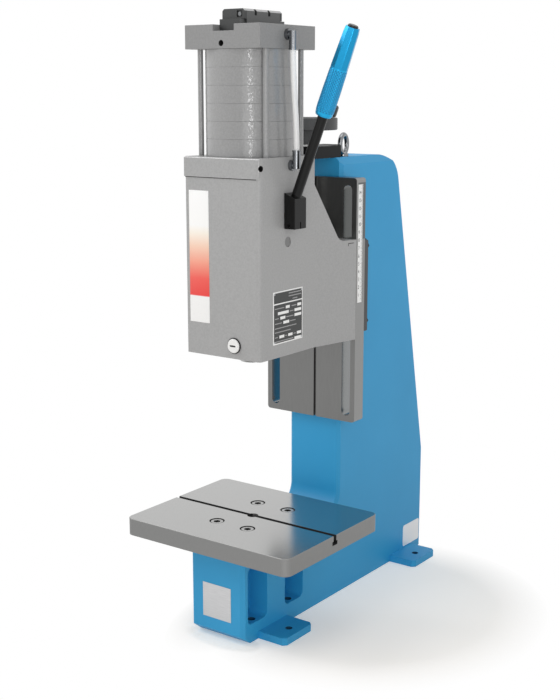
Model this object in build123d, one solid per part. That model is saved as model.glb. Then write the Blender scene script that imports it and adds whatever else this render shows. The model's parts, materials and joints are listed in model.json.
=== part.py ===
import os
from math import acos, cos, pi, radians, sin, tan
from build123d import *

os.makedirs("parts", exist_ok=True)

# Sizes in mm. Origin on the floor under the ram axis, +X right, -Y front, +Z up.
QUARTER = 90
HEX_SIDES = 6
RUN = 0.05
SLIDE = 0.05
PLAY = 0.3

# Frame
BASE_HALF = 40
BASE_FRONT = -73
BASE_TOP = 119
TOE_DEEP = 14
TOE_HIGH = 11
BACK = 359
BACK_KNEE = 152
TOP_BACK = 271.4
COLUMN_FRONT = 136.7
COLUMN_TOP = 585
CROWN_R = 42
FOOT_R = 25
BASE_EDGE = 4.6
BASE_SHARP = 1.4
COLUMN_EDGE = 4
TOP_CHAMFER = 9
SEAT_BACK = 147.6
POCKET_YS = (-43.5, 34)
POCKET_W = 40
POCKET_FLOOR = 24
POCKET_ROOF = 98
POCKET_R = 8
WEB_HALF = 12
POCKET_HOLE_X = 30
POCKET_HOLE_R = 5
FOOT_OUT = 81
FOOT_T = 9.5
FOOT_RIGHT_YS = (-12, 304)
FOOT_LEFT_YS = (18, 304)
FOOT_LENGTH = 60
FOOT_CORNER = 4.5
FOOT_HOLE_X = 65
FOOT_HOLE_R = 4.5
EJECT_R = 8
EJECT_DEPTH = 60

# Work table
TABLE_HALF_X = 125
TABLE_HALF_Y = 100
TABLE_TOP = 141
TABLE_R = 10
TABLE_BREAK = 0.6
NECK_W = 6
NECK_DEPTH = 7
SLOT_W = 11
SLOT_H = 5
CENTRE_R = 7
DIE_R = 6
TABLE_SCREW_X = 24
TABLE_SCREW_Y = 42.5
SINK_R = 9
SINK_DEPTH = 11.2
TABLE_SCREW_R = 5
TABLE_HEAD_R = 8
TABLE_HEAD_H = 10.6
TABLE_SCREW_END = 101
TABLE_HEX = 8
TABLE_HEX_DEPTH = 5

# Slide plate and scale
BAR_GAP = 3
SLOT_IN = 13
PLATE_RIM = 13.5
SLOT_X = BASE_HALF + BAR_GAP + SLOT_IN
PLATE_HALF = SLOT_X + PLATE_RIM
PLATE_FRONT = 126.8
PLATE_LOW = 245
PLATE_HIGH = 561
PLATE_R = 4
GUIDE_W = 12.6
GUIDE_LOW = 253
GUIDE_HIGH = 552
GROOVE_X = 7.4
GROOVE_W = 3.6
GROOVE_DEPTH = 4
PLATE_SCREW_X = 24
PLATE_SCREW_ZS = (385, 455)
PLATE_SINK_R = 7
PLATE_SINK = 9
PLATE_SCREW_R = 4
PLATE_HEAD_R = 6.5
PLATE_HEAD_H = 8
PLATE_SCREW_END = 172
PLATE_HEX = 6
PLATE_HEX_DEPTH = 4
SCALE_T = 0.5
SCALE_FRONT = 130.4
SCALE_BACK = 140.5
SCALE_LOW = 403
SCALE_HIGH = 553

# Head housing
HEAD_HALF = 55
HEAD_FRONT = -56.5
HEAD_BACK = 54
HEAD_LOW = 356
HEAD_HIGH = 592.5
HEAD_EDGE_R = 5
HEAD_SHARP_R = 0.8
FLARE_REAR = PLATE_FRONT - SLIDE
SADDLE_HIGH = 484.5
SADDLE_Y = 97.5
SLOPE_HIGH = 557
SLOPE_R = 14
RAM_BORE_R = 29
LIP_LEFT = -56
LIP_LOW = 569
LIP_HIGH = 592
LIP_T = 1.4
LIP_R = 1
CORNER_HOLE_R = 3.5
CORNER_HOLE_TURN = 65
CORNER_HOLE_Z = 581
CORNER_HOLE_DEPTH = 9
KEY_W = 3
KEY_IN = 121.5
KEY_OUT = 130.3
KEY_LOW = 362
KEY_HIGH = 480
BAR_T = 7.9
BAR_LOW = 363
BAR_HIGH = 481.5
BAR_R = 2
CLAMP_ZS = (375, 473)
CLAMP_R = 6
CLAMP_HEX = 18
CLAMP_HEAD = 8
CLAMP_END = 104
PLUG_X = 16.9
PLUG_Z = 372
PLUG_R = 8.6
PLUG_PROUD = 2.2
PLUG_SHANK_R = 5
PLUG_SHANK = 12
PLUG_EDGE = 1.2
PLUG_SLOT_W = 1.4
PLUG_SLOT_L = 8
PLUG_SLOT_D = 1.2
RING_R = 9.6
RING_T = 1.4
SIDE_PLUG_Y = -1
SIDE_PLUG_Z = 493
SIDE_PLUG_R = 6.2
SIDE_PLUG_IN = 44
SIDE_PLUG_SUNK = 0.8

# Ram, rack and pinion
RAM_R = 23
RAM_LOW = 342.5
RAM_HIGH = 588
RAM_EDGE = 1
NOSE_R = 17
NOSE_TOP = 360
NOSE_EDGE = 2.7
TOOL_R = 6
TOOL_DEPTH = 42
TOOL_SCREW_Z = 350.8
TOOL_SCREW_R = 3
TOOL_SCREW_SUNK = 1
BUSH_LOW_TOP = 420
BUSH_FLANGE_R = 35
BUSH_FLANGE = 4
BUSH_HIGH_LOW = 545
SHAFT_Y = 2
SHAFT_Z = 525
SHAFT_R = 8
SHAFT_LEFT = -54
SHAFT_RIGHT = 68.5
SHAFT_BUSH_R = 11
SHAFT_BUSH_IN = 31
MODULE = 1.5
TEETH = 18
PRESSURE = 20
MESH_PLAY = 0.2
TIP_PLAY = 0.1
PINION_HALF = 10
RACK_HALF = 12
RACK_FIRST = -3
RACK_LAST = 8
FLANK_SHARES = (0, 0.35, 0.7, 1)
DEDENDUM_SHARE = 1.25
WINDOW_LOW = 506.5
WINDOW_HIGH = 573
WINDOW_BACK = 17.5
KEYWAY_HALF = 9
KEYWAY_W = 5
KEYWAY_IN = 3
KEYWAY_OUT = 2
COVER_R = 16
COVER_T = 3

# Lever
HUB_IN = 55.6
HUB_OUT = 71
HUB_FRONT = -9.7
HUB_BACK = 13.7
HUB_LOW = 509
HUB_TOP_IN = 551
HUB_BREAK = 0.5
TILT = 21.8
SLIT_W = 1.8
HUB_SCREW_X = 62.5
HUB_SCREW_Z = 513
HUB_SCREW_R = 2
HUB_SCREW_HEAD_R = 3.3
HUB_SCREW_HEAD = 4
LEVER_ROD_X = 64
LEVER_ROD_Z = 545
LEVER_ROD_R = 6
ROD_LOW = -8
GRIP_LOW = 102.5
GRIP_STEPS = (0, 2, 10, 30, 56, 60, 98, 104)
GRIP_RADII = (9.4, 10.3, 11.3, 11.2, 10.6, 10.3, 9.2, 8.4)
CAP_R = 6
CAP_T = 2.5
CAP_EDGE = 1

# Cylinder
BARREL_R = 53.5
BORE_R = 48.5
CAP_LOW = 714.9
CAP_DEEP = 27.1
CAP_HIGH = CAP_LOW + CAP_DEEP
CAP_HALF = 54.7
CAP_CORNER_R = 1.5
TIE_X = 47.8
TIE_Y = 34.6
TIE_R = 3.25
TIE_END = 577
TIE_HEAD_R = 5
TIE_SINK_R = 5.5
TIE_HEAD = 7
TIE_SINK = 8
TIE_HEAD_LOW = CAP_HIGH - TIE_SINK
TIE_HEAD_HIGH = TIE_HEAD_LOW + TIE_HEAD
CHANNEL_LEFT = -12.5
CHANNEL_RIGHT = 17.8
CHANNEL_DEPTH = 7.4
CHANNEL_FLOOR = CAP_HIGH - CHANNEL_DEPTH
PORT_X = -0.7
PORT_RISE = 6.1
PORT_Z = CAP_LOW + PORT_RISE
PORT_R = 3.3
PORT_DEPTH = 12
POWER_ROD_R = 9
POWER_ROD_LOW = 604
POWER_ROD_HIGH = 714
PISTON_T = 8
PISTON_LIFT = 11
PISTON_GAP = 0.3
SEAL_T = 3
SEAL_IN = 45
ROD_SEAL_R = 12
ROD_SEAL_T = 3

# Valve, elbows and hose
VALVE_LEFT = -12.4
VALVE_RIGHT = 20
VALVE_FRONT = -33
VALVE_BACK = 31
VALVE_RISE = 17.5
VALVE_HIGH = CAP_HIGH + VALVE_RISE
VALVE_BASE_FRONT = -42.3
VALVE_BASE_BACK = 43.5
VALVE_BASE_RISE = 6
VALVE_EDGE = 2.5
NOTCH_YS = (-16, 10)
NOTCH_W = 4
NOTCH_IN = 5
NOTCH_DEPTH = 7
END_T = 4
VALVE_SCREW_X = 12.5
VALVE_SCREW_DROP = 6
VALVE_SCREW_Z = VALVE_HIGH - VALVE_SCREW_DROP
VALVE_SIDE_Y = -28
RECESS_HALF = 3.8
RECESS_DEPTH = 2
VALVE_SCREW_R = 2.4
VALVE_SCREW_PROUD = 1.6
VALVE_SCREW_IN = 6
ELBOW_X = 63
UPPER_Y = -2.7
UPPER_RISE = 16.1
UPPER_Z = CAP_LOW + UPPER_RISE
LOWER_Y = 4.8
LOWER_Z = 582.5
NUT_R = 6.5
NUT_T = 4.5
NECK_R = 4
SLEEVE_R = 4.8
SLEEVE_SHORT = 4
SLEEVE_LONG = 15.5
COLLAR_R = 5.2
COLLAR_H = 2
HOSE_R = 3.5
HOSE_GRIP = 6

# Height adjustment
SCREW_Y = 106
BRACKET_HALF = 30
BRACKET_FRONT = 80
BRACKET_BACK = 150
BRACKET_HIGH = 600
BRACKET_R = 6
TAIL_HALF = 14
TAIL_BACK = 174
BRACKET_SCREWS = ((-21, 143.5), (21, 143.5), (0, 163))
BRACKET_SCREW_R = 3
BRACKET_HEAD_R = 5
BRACKET_HEAD = 6
BRACKET_SCREW_END = 570
BRACKET_HEX = 5
BRACKET_HEX_DEPTH = 3
BRACKET_SINK_R = 5.5
BRACKET_SINK = 6.6
JOURNAL_R = 8
SPINDLE_R = 10
SPINDLE_END = 358
COLLAR_OUT_R = 15
COLLAR_LOW = 577
WASHER_R = 16
WASHER_T = 2
NUT_OUT_R = 16
NUT_LOW = 450
SPINDLE_CLEAR_R = 11.5
SADDLE_CLEAR_R = 18
WHEEL_R = 44.5
WHEEL_LOW = 620
WHEEL_HIGH = 635
WHEEL_RIM = 1.5
WHEEL_HUB_R = 16
WHEEL_DISH_IN = 20
WHEEL_DISH_OUT = 37
WHEEL_DISH = 3
WHEEL_NUT_R = 10
WHEEL_NUT_T = 6
WHEEL_SINK_R = 10.8
KNOB_X = 26.7
KNOB_Y = 125.5
KNOB_LOW = 635.5
KNOB_STEPS = (0, 0.8, 7.5, 11.5, 14, 15)
KNOB_RADII = (8.5, 9.5, 11.8, 13, 12, 9.5)
PIN_R = 4
PIN_LOW = 624
PIN_NECK = 645
PIN_HEAD_R = 6
PIN_HEAD = 3
KNOB_SINK_R = 6.5
EYE_X = 21
EYE_Y = 169.2
EYE_BASE_R = 6.6
EYE_BASE = 4
EYE_RING_R = 12
EYE_WIRE_R = 3.2
EYE_CENTRE_Z = 600.5
EYE_TURN = 102
EYE_SHANK_R = 4
EYE_SHANK_END = 567


def box(x0, x1, y0, y1, z0, z1):
    """Block between two corners."""
    middle = Pos((x0 + x1) / 2, (y0 + y1) / 2, (z0 + z1) / 2)
    return middle * Box(x1 - x0, y1 - y0, z1 - z0)


def bar_x(y, z, x0, x1, r):
    """Round bar along X."""
    return Pos((x0 + x1) / 2, y, z) * Rot(0, QUARTER, 0) * Cylinder(r, x1 - x0)


def bar_y(x, z, y0, y1, r):
    """Round bar along Y."""
    return Pos(x, (y0 + y1) / 2, z) * Rot(QUARTER, 0, 0) * Cylinder(r, y1 - y0)


def bar_z(x, y, z0, z1, r):
    """Round bar along Z."""
    return Pos(x, y, (z0 + z1) / 2) * Cylinder(r, z1 - z0)


def ring_z(x, y, z0, z1, r_out, r_in):
    """Ring along Z."""
    return bar_z(x, y, z0, z1, r_out) - bar_z(x, y, z0, z1, r_in)


def hex_z(x, y, z0, z1, flats):
    """Hexagonal bar along Z, sized across its flats."""
    face = RegularPolygon(flats / 2 / cos(pi / HEX_SIDES), HEX_SIDES)
    return Pos(x, y, z0) * extrude(face, z1 - z0)


def hex_y(x, z, y0, y1, flats):
    """Hexagonal bar along Y, sized across its flats."""
    face = RegularPolygon(flats / 2 / cos(pi / HEX_SIDES), HEX_SIDES)
    return Plane.XZ.offset(-y1) * Pos(x, z) * extrude(face, y1 - y0)


def face_of(points):
    """Flat face inside a closed outline."""
    return make_face(Polyline(*points, close=True))


def prism_x(points, x0, x1):
    """Outline in Y and Z, drawn out along X."""
    return extrude(Plane.YZ.offset(x0) * face_of(points), x1 - x0)


def prism_y(points, y0, y1):
    """Outline in X and Z, drawn out along Y."""
    return extrude(Plane.XZ.offset(-y1) * face_of(points), y1 - y0)


def prism_z(points, z0, z1):
    """Outline in X and Y, drawn out along Z."""
    return Pos(0, 0, z0) * extrude(face_of(points), z1 - z0)


def turned(heights, radii):
    """Solid of revolution about Z from heights and radii."""
    points = [(0, heights[0])] + list(zip(radii, heights)) + [(0, heights[-1])]
    return revolve(Plane.XZ * face_of(points), Axis.Z)


def cap_screw(x, y, z_seat, head_r, head_h, r, z_end, hex_flats, hex_depth):
    """Socket screw along Z with its head standing on z_seat."""
    top = z_seat + head_h
    screw = bar_z(x, y, z_seat, top, head_r) + bar_z(x, y, z_end, z_seat, r)
    return screw - hex_z(x, y, top - hex_depth, top, hex_flats)


def corners(x, y):
    """The four points of a rectangle about the ram axis."""
    return [(sx * x, sy * y) for sx in (-1, 1) for sy in (-1, 1)]


# Frame: side outline, seat of the slide plate, pockets and foot tabs
def make_frame():
    side = [
        (BASE_FRONT + TOE_DEEP, 0),
        (BACK, 0),
        (BACK, BACK_KNEE),
        (TOP_BACK, COLUMN_TOP),
        (COLUMN_FRONT, COLUMN_TOP),
        (COLUMN_FRONT, BASE_TOP),
        (BASE_FRONT, BASE_TOP),
        (BASE_FRONT, TOE_HIGH),
    ]
    body = prism_x(side, -BASE_HALF, BASE_HALF)
    across = body.edges().filter_by(Axis.X)
    crown = across.sort_by_distance((0, TOP_BACK, COLUMN_TOP))[0]
    body = fillet(crown, CROWN_R)
    heel = body.edges().filter_by(Axis.X).sort_by_distance((0, COLUMN_FRONT, BASE_TOP))[0]
    body = fillet(heel, FOOT_R)
    upright = body.edges().filter_by(Axis.Z)
    body = chamfer(upright.group_by(Axis.Y)[0].sort_by(Axis.X)[-1], BASE_EDGE)
    upright = body.edges().filter_by(Axis.Z)
    body = chamfer(upright.group_by(Axis.Y)[0].sort_by(Axis.X)[0], BASE_SHARP)
    upright = body.edges().filter_by(Axis.Z)
    front = upright.filter_by_position(Axis.Y, COLUMN_FRONT - PLAY, COLUMN_FRONT + PLAY)
    body = chamfer(front, COLUMN_EDGE)
    for side_x in (-1, 1):
        wedge = [
            (side_x * BASE_HALF, COLUMN_TOP - TOP_CHAMFER),
            (side_x * (BASE_HALF + TOP_CHAMFER), COLUMN_TOP),
            (side_x * BASE_HALF, COLUMN_TOP + TOP_CHAMFER),
            (side_x * (BASE_HALF - TOP_CHAMFER), COLUMN_TOP),
        ]
        body -= prism_y(wedge, COLUMN_FRONT - TOE_DEEP, BACK)
    body -= box(-BASE_HALF, BASE_HALF, COLUMN_FRONT - TOE_DEEP, SEAT_BACK, PLATE_LOW, PLATE_HIGH)
    for y in POCKET_YS:
        middle = (POCKET_FLOOR + POCKET_ROOF) / 2
        opening = RectangleRounded(POCKET_W, POCKET_ROOF - POCKET_FLOOR, POCKET_R)
        for x0, hole in ((WEB_HALF, POCKET_HOLE_X), (-BASE_HALF, -POCKET_HOLE_X)):
            cut = Plane.YZ.offset(x0) * Pos(y, middle) * opening
            body -= extrude(cut, BASE_HALF - WEB_HALF)
            body -= bar_z(hole, y, 0, POCKET_FLOOR, POCKET_HOLE_R)
    for s, spots in ((1, FOOT_RIGHT_YS), (-1, FOOT_LEFT_YS)):
        for y in spots:
            front = y - FOOT_LENGTH / 2
            back = y + FOOT_LENGTH / 2
            tab = [
                (s * BASE_HALF, front),
                (s * (FOOT_OUT - FOOT_CORNER), front),
                (s * FOOT_OUT, front + FOOT_CORNER),
                (s * FOOT_OUT, back - FOOT_CORNER),
                (s * (FOOT_OUT - FOOT_CORNER), back),
                (s * BASE_HALF, back),
            ]
            body += prism_z(tab, 0, FOOT_T)
            body -= bar_z(s * FOOT_HOLE_X, y, 0, FOOT_T, FOOT_HOLE_R)
    for x, y in corners(TABLE_SCREW_X, TABLE_SCREW_Y):
        body -= bar_z(x, y, POCKET_ROOF, BASE_TOP, TABLE_SCREW_R)
    body -= bar_z(0, 0, BASE_TOP - EJECT_DEPTH, BASE_TOP, EJECT_R)
    for x in (-PLATE_SCREW_X, PLATE_SCREW_X):
        for z in PLATE_SCREW_ZS:
            body -= bar_y(x, z, SEAT_BACK, PLATE_SCREW_END, PLATE_SCREW_R)
    for x, y in BRACKET_SCREWS:
        body -= bar_z(x, y, BRACKET_SCREW_END, COLUMN_TOP, BRACKET_SCREW_R)
    body -= bar_z(EYE_X, EYE_Y, EYE_SHANK_END, COLUMN_TOP, EYE_SHANK_R)
    return body


# Work table with its T-slot and sunk screws
def make_table():
    plate = Pos(0, 0, BASE_TOP) * extrude(
        RectangleRounded(2 * TABLE_HALF_X, 2 * TABLE_HALF_Y, TABLE_R), TABLE_TOP - BASE_TOP
    )
    rim = plate.faces().sort_by(Axis.Z)[-1].edges()
    plate = chamfer(rim, TABLE_BREAK)
    floor = TABLE_TOP - NECK_DEPTH - SLOT_H
    plate -= box(-TABLE_HALF_X, TABLE_HALF_X, -NECK_W / 2, NECK_W / 2, floor, TABLE_TOP)
    plate -= box(-TABLE_HALF_X, TABLE_HALF_X, -SLOT_W / 2, SLOT_W / 2, floor, floor + SLOT_H)
    plate -= bar_z(0, 0, floor, TABLE_TOP, CENTRE_R)
    plate -= bar_z(0, 0, BASE_TOP, floor, DIE_R)
    for x, y in corners(TABLE_SCREW_X, TABLE_SCREW_Y):
        plate -= bar_z(x, y, BASE_TOP, TABLE_TOP, TABLE_SCREW_R)
        plate -= bar_z(x, y, TABLE_TOP - SINK_DEPTH, TABLE_TOP, SINK_R)
    return plate


def make_table_screws():
    seat = TABLE_TOP - SINK_DEPTH
    sizes = (TABLE_HEAD_R, TABLE_HEAD_H, TABLE_SCREW_R, TABLE_SCREW_END, TABLE_HEX, TABLE_HEX_DEPTH)
    spots = corners(TABLE_SCREW_X, TABLE_SCREW_Y)
    return Compound(children=[cap_screw(x, y, seat, *sizes) for x, y in spots])


# Slide plate: two long slots, a narrow groove and sunk screws
def make_slide_plate():
    middle = (PLATE_LOW + PLATE_HIGH) / 2
    outline = RectangleRounded(2 * PLATE_HALF, PLATE_HIGH - PLATE_LOW, PLATE_R)
    plate = extrude(Plane.XZ.offset(-SEAT_BACK) * Pos(0, middle) * outline, SEAT_BACK - PLATE_FRONT)
    for x in (-SLOT_X, SLOT_X):
        slot = Rot(0, 0, QUARTER) * SlotOverall(GUIDE_HIGH - GUIDE_LOW, GUIDE_W)
        place = Plane.XZ.offset(-SEAT_BACK) * Pos(x, (GUIDE_LOW + GUIDE_HIGH) / 2)
        plate -= extrude(place * slot, SEAT_BACK - PLATE_FRONT)
    groove_x0 = GROOVE_X - GROOVE_W / 2
    groove_x1 = GROOVE_X + GROOVE_W / 2
    bottom = PLATE_FRONT + GROOVE_DEPTH
    plate -= box(groove_x0, groove_x1, PLATE_FRONT, bottom, PLATE_LOW, PLATE_HIGH)
    for x in (-PLATE_SCREW_X, PLATE_SCREW_X):
        for z in PLATE_SCREW_ZS:
            plate -= bar_y(x, z, PLATE_FRONT, SEAT_BACK, PLATE_SCREW_R)
            plate -= bar_y(x, z, PLATE_FRONT, PLATE_FRONT + PLATE_SINK, PLATE_SINK_R)
    return plate


def make_plate_screws():
    screws = []
    seat = PLATE_FRONT + PLATE_SINK
    for x in (-PLATE_SCREW_X, PLATE_SCREW_X):
        for z in PLATE_SCREW_ZS:
            screw = bar_y(x, z, seat - PLATE_HEAD_H, seat, PLATE_HEAD_R)
            screw += bar_y(x, z, seat, PLATE_SCREW_END, PLATE_SCREW_R)
            front = seat - PLATE_HEAD_H
            screws.append(screw - hex_y(x, z, front, front + PLATE_HEX_DEPTH, PLATE_HEX))
    return Compound(children=screws)


def make_height_scale():
    return box(PLATE_HALF, PLATE_HALF + SCALE_T, SCALE_FRONT, SCALE_BACK, SCALE_LOW, SCALE_HIGH)


# Lifting eye on the column top
def make_lifting_eye():
    wire = Torus(EYE_RING_R, EYE_WIRE_R)
    ring = Pos(EYE_X, EYE_Y, EYE_CENTRE_Z) * Rot(0, 0, EYE_TURN) * Rot(QUARTER, 0, 0) * wire
    foot = EYE_CENTRE_Z - EYE_RING_R
    stem = bar_z(EYE_X, EYE_Y, EYE_SHANK_END, foot, EYE_SHANK_R)
    return ring + bar_z(EYE_X, EYE_Y, COLUMN_TOP, COLUMN_TOP + EYE_BASE, EYE_BASE_R) + stem


# Bracket that carries the lifting screw
def make_bracket():
    block = box(-BRACKET_HALF, BRACKET_HALF, BRACKET_FRONT, BRACKET_BACK, COLUMN_TOP, BRACKET_HIGH)
    block = fillet(block.edges().filter_by(Axis.Z).group_by(Axis.Y)[0], BRACKET_R)
    block += box(-TAIL_HALF, TAIL_HALF, BRACKET_BACK, TAIL_BACK, COLUMN_TOP, BRACKET_HIGH)
    block -= bar_z(0, SCREW_Y, COLUMN_TOP, BRACKET_HIGH, JOURNAL_R + RUN)
    for x, y in BRACKET_SCREWS:
        block -= bar_z(x, y, COLUMN_TOP, BRACKET_HIGH, BRACKET_SCREW_R)
        block -= bar_z(x, y, BRACKET_HIGH - BRACKET_SINK, BRACKET_HIGH, BRACKET_SINK_R)
    return block


def make_bracket_screws():
    sizes = (BRACKET_HEAD_R, BRACKET_HEAD, BRACKET_SCREW_R, BRACKET_SCREW_END)
    sizes += (BRACKET_HEX, BRACKET_HEX_DEPTH)
    seat = BRACKET_HIGH - BRACKET_SINK
    return Compound(children=[cap_screw(x, y, seat, *sizes) for x, y in BRACKET_SCREWS])


def make_thrust_washer():
    return ring_z(0, SCREW_Y, BRACKET_HIGH, BRACKET_HIGH + WASHER_T, WASHER_R, JOURNAL_R + PLAY)


# Lifting screw with its handwheel and turning knob
def make_lifting_screw():
    screw = bar_z(0, SCREW_Y, SPINDLE_END, COLLAR_LOW, SPINDLE_R)
    screw += bar_z(0, SCREW_Y, COLLAR_LOW, COLUMN_TOP - SLIDE, COLLAR_OUT_R)
    return screw + bar_z(0, SCREW_Y, COLUMN_TOP - SLIDE, WHEEL_HIGH - PLAY, JOURNAL_R)


def make_handwheel():
    disc = bar_z(0, 0, WHEEL_LOW, WHEEL_HIGH, WHEEL_R)
    disc = fillet(disc.edges().filter_by(GeomType.CIRCLE), WHEEL_RIM)
    dish = ring_z(0, 0, WHEEL_HIGH - WHEEL_DISH, WHEEL_HIGH, WHEEL_DISH_OUT, WHEEL_DISH_IN)
    boss = bar_z(KNOB_X, KNOB_Y - SCREW_Y, WHEEL_LOW, WHEEL_HIGH, KNOB_RADII[1])
    disc = disc - dish + boss
    disc += bar_z(0, 0, BRACKET_HIGH + WASHER_T + SLIDE, WHEEL_LOW, WHEEL_HUB_R)
    disc -= bar_z(0, 0, BRACKET_HIGH, WHEEL_HIGH, JOURNAL_R)
    disc -= bar_z(0, 0, WHEEL_HIGH - WHEEL_NUT_T, WHEEL_HIGH, WHEEL_SINK_R)
    disc -= bar_z(KNOB_X, KNOB_Y - SCREW_Y, PIN_LOW, WHEEL_HIGH, PIN_R)
    return Pos(0, SCREW_Y, 0) * disc


def make_wheel_nut():
    seat = WHEEL_HIGH - WHEEL_NUT_T
    nut = hex_z(0, SCREW_Y, seat, WHEEL_HIGH - PLAY, 2 * WHEEL_NUT_R * cos(pi / HEX_SIDES))
    return nut - bar_z(0, SCREW_Y, seat, WHEEL_HIGH, JOURNAL_R)


def make_knob_pin():
    pin = bar_z(KNOB_X, KNOB_Y, PIN_LOW, PIN_NECK, PIN_R)
    return pin + bar_z(KNOB_X, KNOB_Y, PIN_NECK, PIN_NECK + PIN_HEAD, PIN_HEAD_R)


def make_knob():
    knob = Pos(KNOB_X, KNOB_Y, KNOB_LOW) * turned(KNOB_STEPS, KNOB_RADII)
    top = KNOB_LOW + KNOB_STEPS[-1]
    knob -= bar_z(KNOB_X, KNOB_Y, KNOB_LOW, top, PIN_R + RUN)
    return knob - bar_z(KNOB_X, KNOB_Y, PIN_NECK - PLAY, top, KNOB_SINK_R)


# Head housing: front block, flared saddle with a sloped back, bores
def corner_drill():
    """Hole through the head's rounded right-front corner."""
    centre = Pos(HEAD_HALF - HEAD_EDGE_R, HEAD_FRONT + HEAD_EDGE_R, CORNER_HOLE_Z)
    place = centre * Rot(0, 0, CORNER_HOLE_TURN) * Pos(0, -HEAD_EDGE_R, 0)
    return place * Rot(QUARTER, 0, 0) * Cylinder(CORNER_HOLE_R, 2 * CORNER_HOLE_DEPTH)


def make_head():
    block = box(-HEAD_HALF, HEAD_HALF, HEAD_FRONT, HEAD_BACK, HEAD_LOW, HEAD_HIGH)
    block = fillet(block.edges().filter_by(Axis.Z).group_by(Axis.Y)[0].sort_by(Axis.X)[-1], HEAD_EDGE_R)
    block = fillet(block.edges().filter_by(Axis.Z).group_by(Axis.Y)[0].sort_by(Axis.X)[0], HEAD_SHARP_R)
    flare = [
        (-HEAD_HALF, HEAD_BACK),
        (HEAD_HALF, HEAD_BACK),
        (PLATE_HALF, FLARE_REAR),
        (-PLATE_HALF, FLARE_REAR),
    ]
    slope = [
        (HEAD_BACK, HEAD_LOW),
        (FLARE_REAR, HEAD_LOW),
        (FLARE_REAR, SADDLE_HIGH),
        (SADDLE_Y, SADDLE_HIGH),
        (HEAD_BACK, SLOPE_HIGH),
    ]
    saddle = prism_x(slope, -PLATE_HALF, PLATE_HALF)
    bend = saddle.edges().filter_by(Axis.X).sort_by_distance((0, SADDLE_Y, SADDLE_HIGH))[0]
    saddle = fillet(bend, SLOPE_R) & prism_z(flare, HEAD_LOW, HEAD_HIGH)
    head = block + saddle
    head -= bar_z(0, 0, HEAD_LOW, HEAD_HIGH, RAM_BORE_R)
    head -= bar_x(SHAFT_Y, SHAFT_Z, -HEAD_HALF, HEAD_HALF, SHAFT_BUSH_R)
    head -= bar_z(0, SCREW_Y, HEAD_LOW, NUT_LOW, SPINDLE_CLEAR_R)
    head -= bar_z(0, SCREW_Y, NUT_LOW, SADDLE_HIGH, NUT_OUT_R)
    head -= bar_z(0, SCREW_Y, SADDLE_HIGH, HEAD_HIGH, SADDLE_CLEAR_R)
    for x in (-SLOT_X, SLOT_X):
        for z in CLAMP_ZS:
            head -= bar_y(x, z, CLAMP_END, FLARE_REAR, CLAMP_R)
    for x, y in corners(TIE_X, TIE_Y):
        head -= bar_z(x, y, TIE_END, HEAD_HIGH, TIE_R)
    head -= bar_y(PLUG_X, PLUG_Z, HEAD_FRONT, HEAD_FRONT + PLUG_SHANK, PLUG_SHANK_R)
    head -= bar_x(SIDE_PLUG_Y, SIDE_PLUG_Z, SIDE_PLUG_IN, HEAD_HALF, SIDE_PLUG_R)
    key_x0 = GROOVE_X - KEY_W / 2
    head -= box(key_x0, key_x0 + KEY_W, KEY_IN, FLARE_REAR, KEY_LOW, KEY_HIGH)
    head -= bar_x(LOWER_Y, LOWER_Z, HEAD_HALF - NUT_T, HEAD_HALF, NECK_R)
    return head - corner_drill()


def make_front_lip():
    """Raised band across the front that turns round the right corner."""
    x = HEAD_HALF - HEAD_EDGE_R
    y = HEAD_FRONT + HEAD_EDGE_R
    outer = HEAD_EDGE_R + LIP_T
    wedge = [(x, y), (x, y - 2 * outer), (x + 2 * outer, y - 2 * outer)]
    bend = ring_z(x, y, LIP_LOW, LIP_HIGH, outer, HEAD_EDGE_R) & prism_z(wedge, LIP_LOW, LIP_HIGH)
    lip = box(LIP_LEFT, x, HEAD_FRONT - LIP_T, HEAD_FRONT, LIP_LOW, LIP_HIGH) + bend
    top = lip.edges().filter_by(Axis.X).group_by(Axis.Z)[-1].sort_by(Axis.Y)[0]
    return fillet(top, LIP_R) - corner_drill()


def make_guide_key():
    key_x0 = GROOVE_X - KEY_W / 2
    return box(key_x0, key_x0 + KEY_W, KEY_IN, KEY_OUT, KEY_LOW, KEY_HIGH)


def make_lifting_nut():
    return ring_z(0, SCREW_Y, NUT_LOW, SADDLE_HIGH, NUT_OUT_R, SPINDLE_R + RUN)


def make_clamp_bar(s):
    y0 = SEAT_BACK + SLIDE
    x0, x1 = sorted((s * (BASE_HALF + BAR_GAP), s * PLATE_HALF))
    bar = box(x0, x1, y0, y0 + BAR_T, BAR_LOW, BAR_HIGH)
    bar = fillet(bar.edges().filter_by(Axis.Y), BAR_R)
    for z in CLAMP_ZS:
        bar -= bar_y(s * SLOT_X, z, y0, y0 + BAR_T, CLAMP_R)
    return bar


def make_clamp_bolts():
    seat = SEAT_BACK + SLIDE + BAR_T
    bolts = []
    for x in (-SLOT_X, SLOT_X):
        for z in CLAMP_ZS:
            bolt = bar_y(x, z, CLAMP_END, seat, CLAMP_R)
            bolts.append(bolt + hex_y(x, z, seat, seat + CLAMP_HEAD, CLAMP_HEX))
    return Compound(children=bolts)


def make_front_plug():
    base = HEAD_FRONT - RING_T
    face = base - PLUG_PROUD
    plug = bar_y(PLUG_X, PLUG_Z, face, base, PLUG_R)
    rim = plug.edges().filter_by(GeomType.CIRCLE).sort_by(Axis.Y)[0]
    plug = chamfer(rim, PLUG_EDGE)
    plug += bar_y(PLUG_X, PLUG_Z, base, HEAD_FRONT + PLUG_SHANK, PLUG_SHANK_R)
    half = PLUG_SLOT_L / 2
    low = PLUG_Z - PLUG_SLOT_W / 2
    slot = box(PLUG_X - half, PLUG_X + half, face, face + PLUG_SLOT_D, low, low + PLUG_SLOT_W)
    return plug - slot


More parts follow.
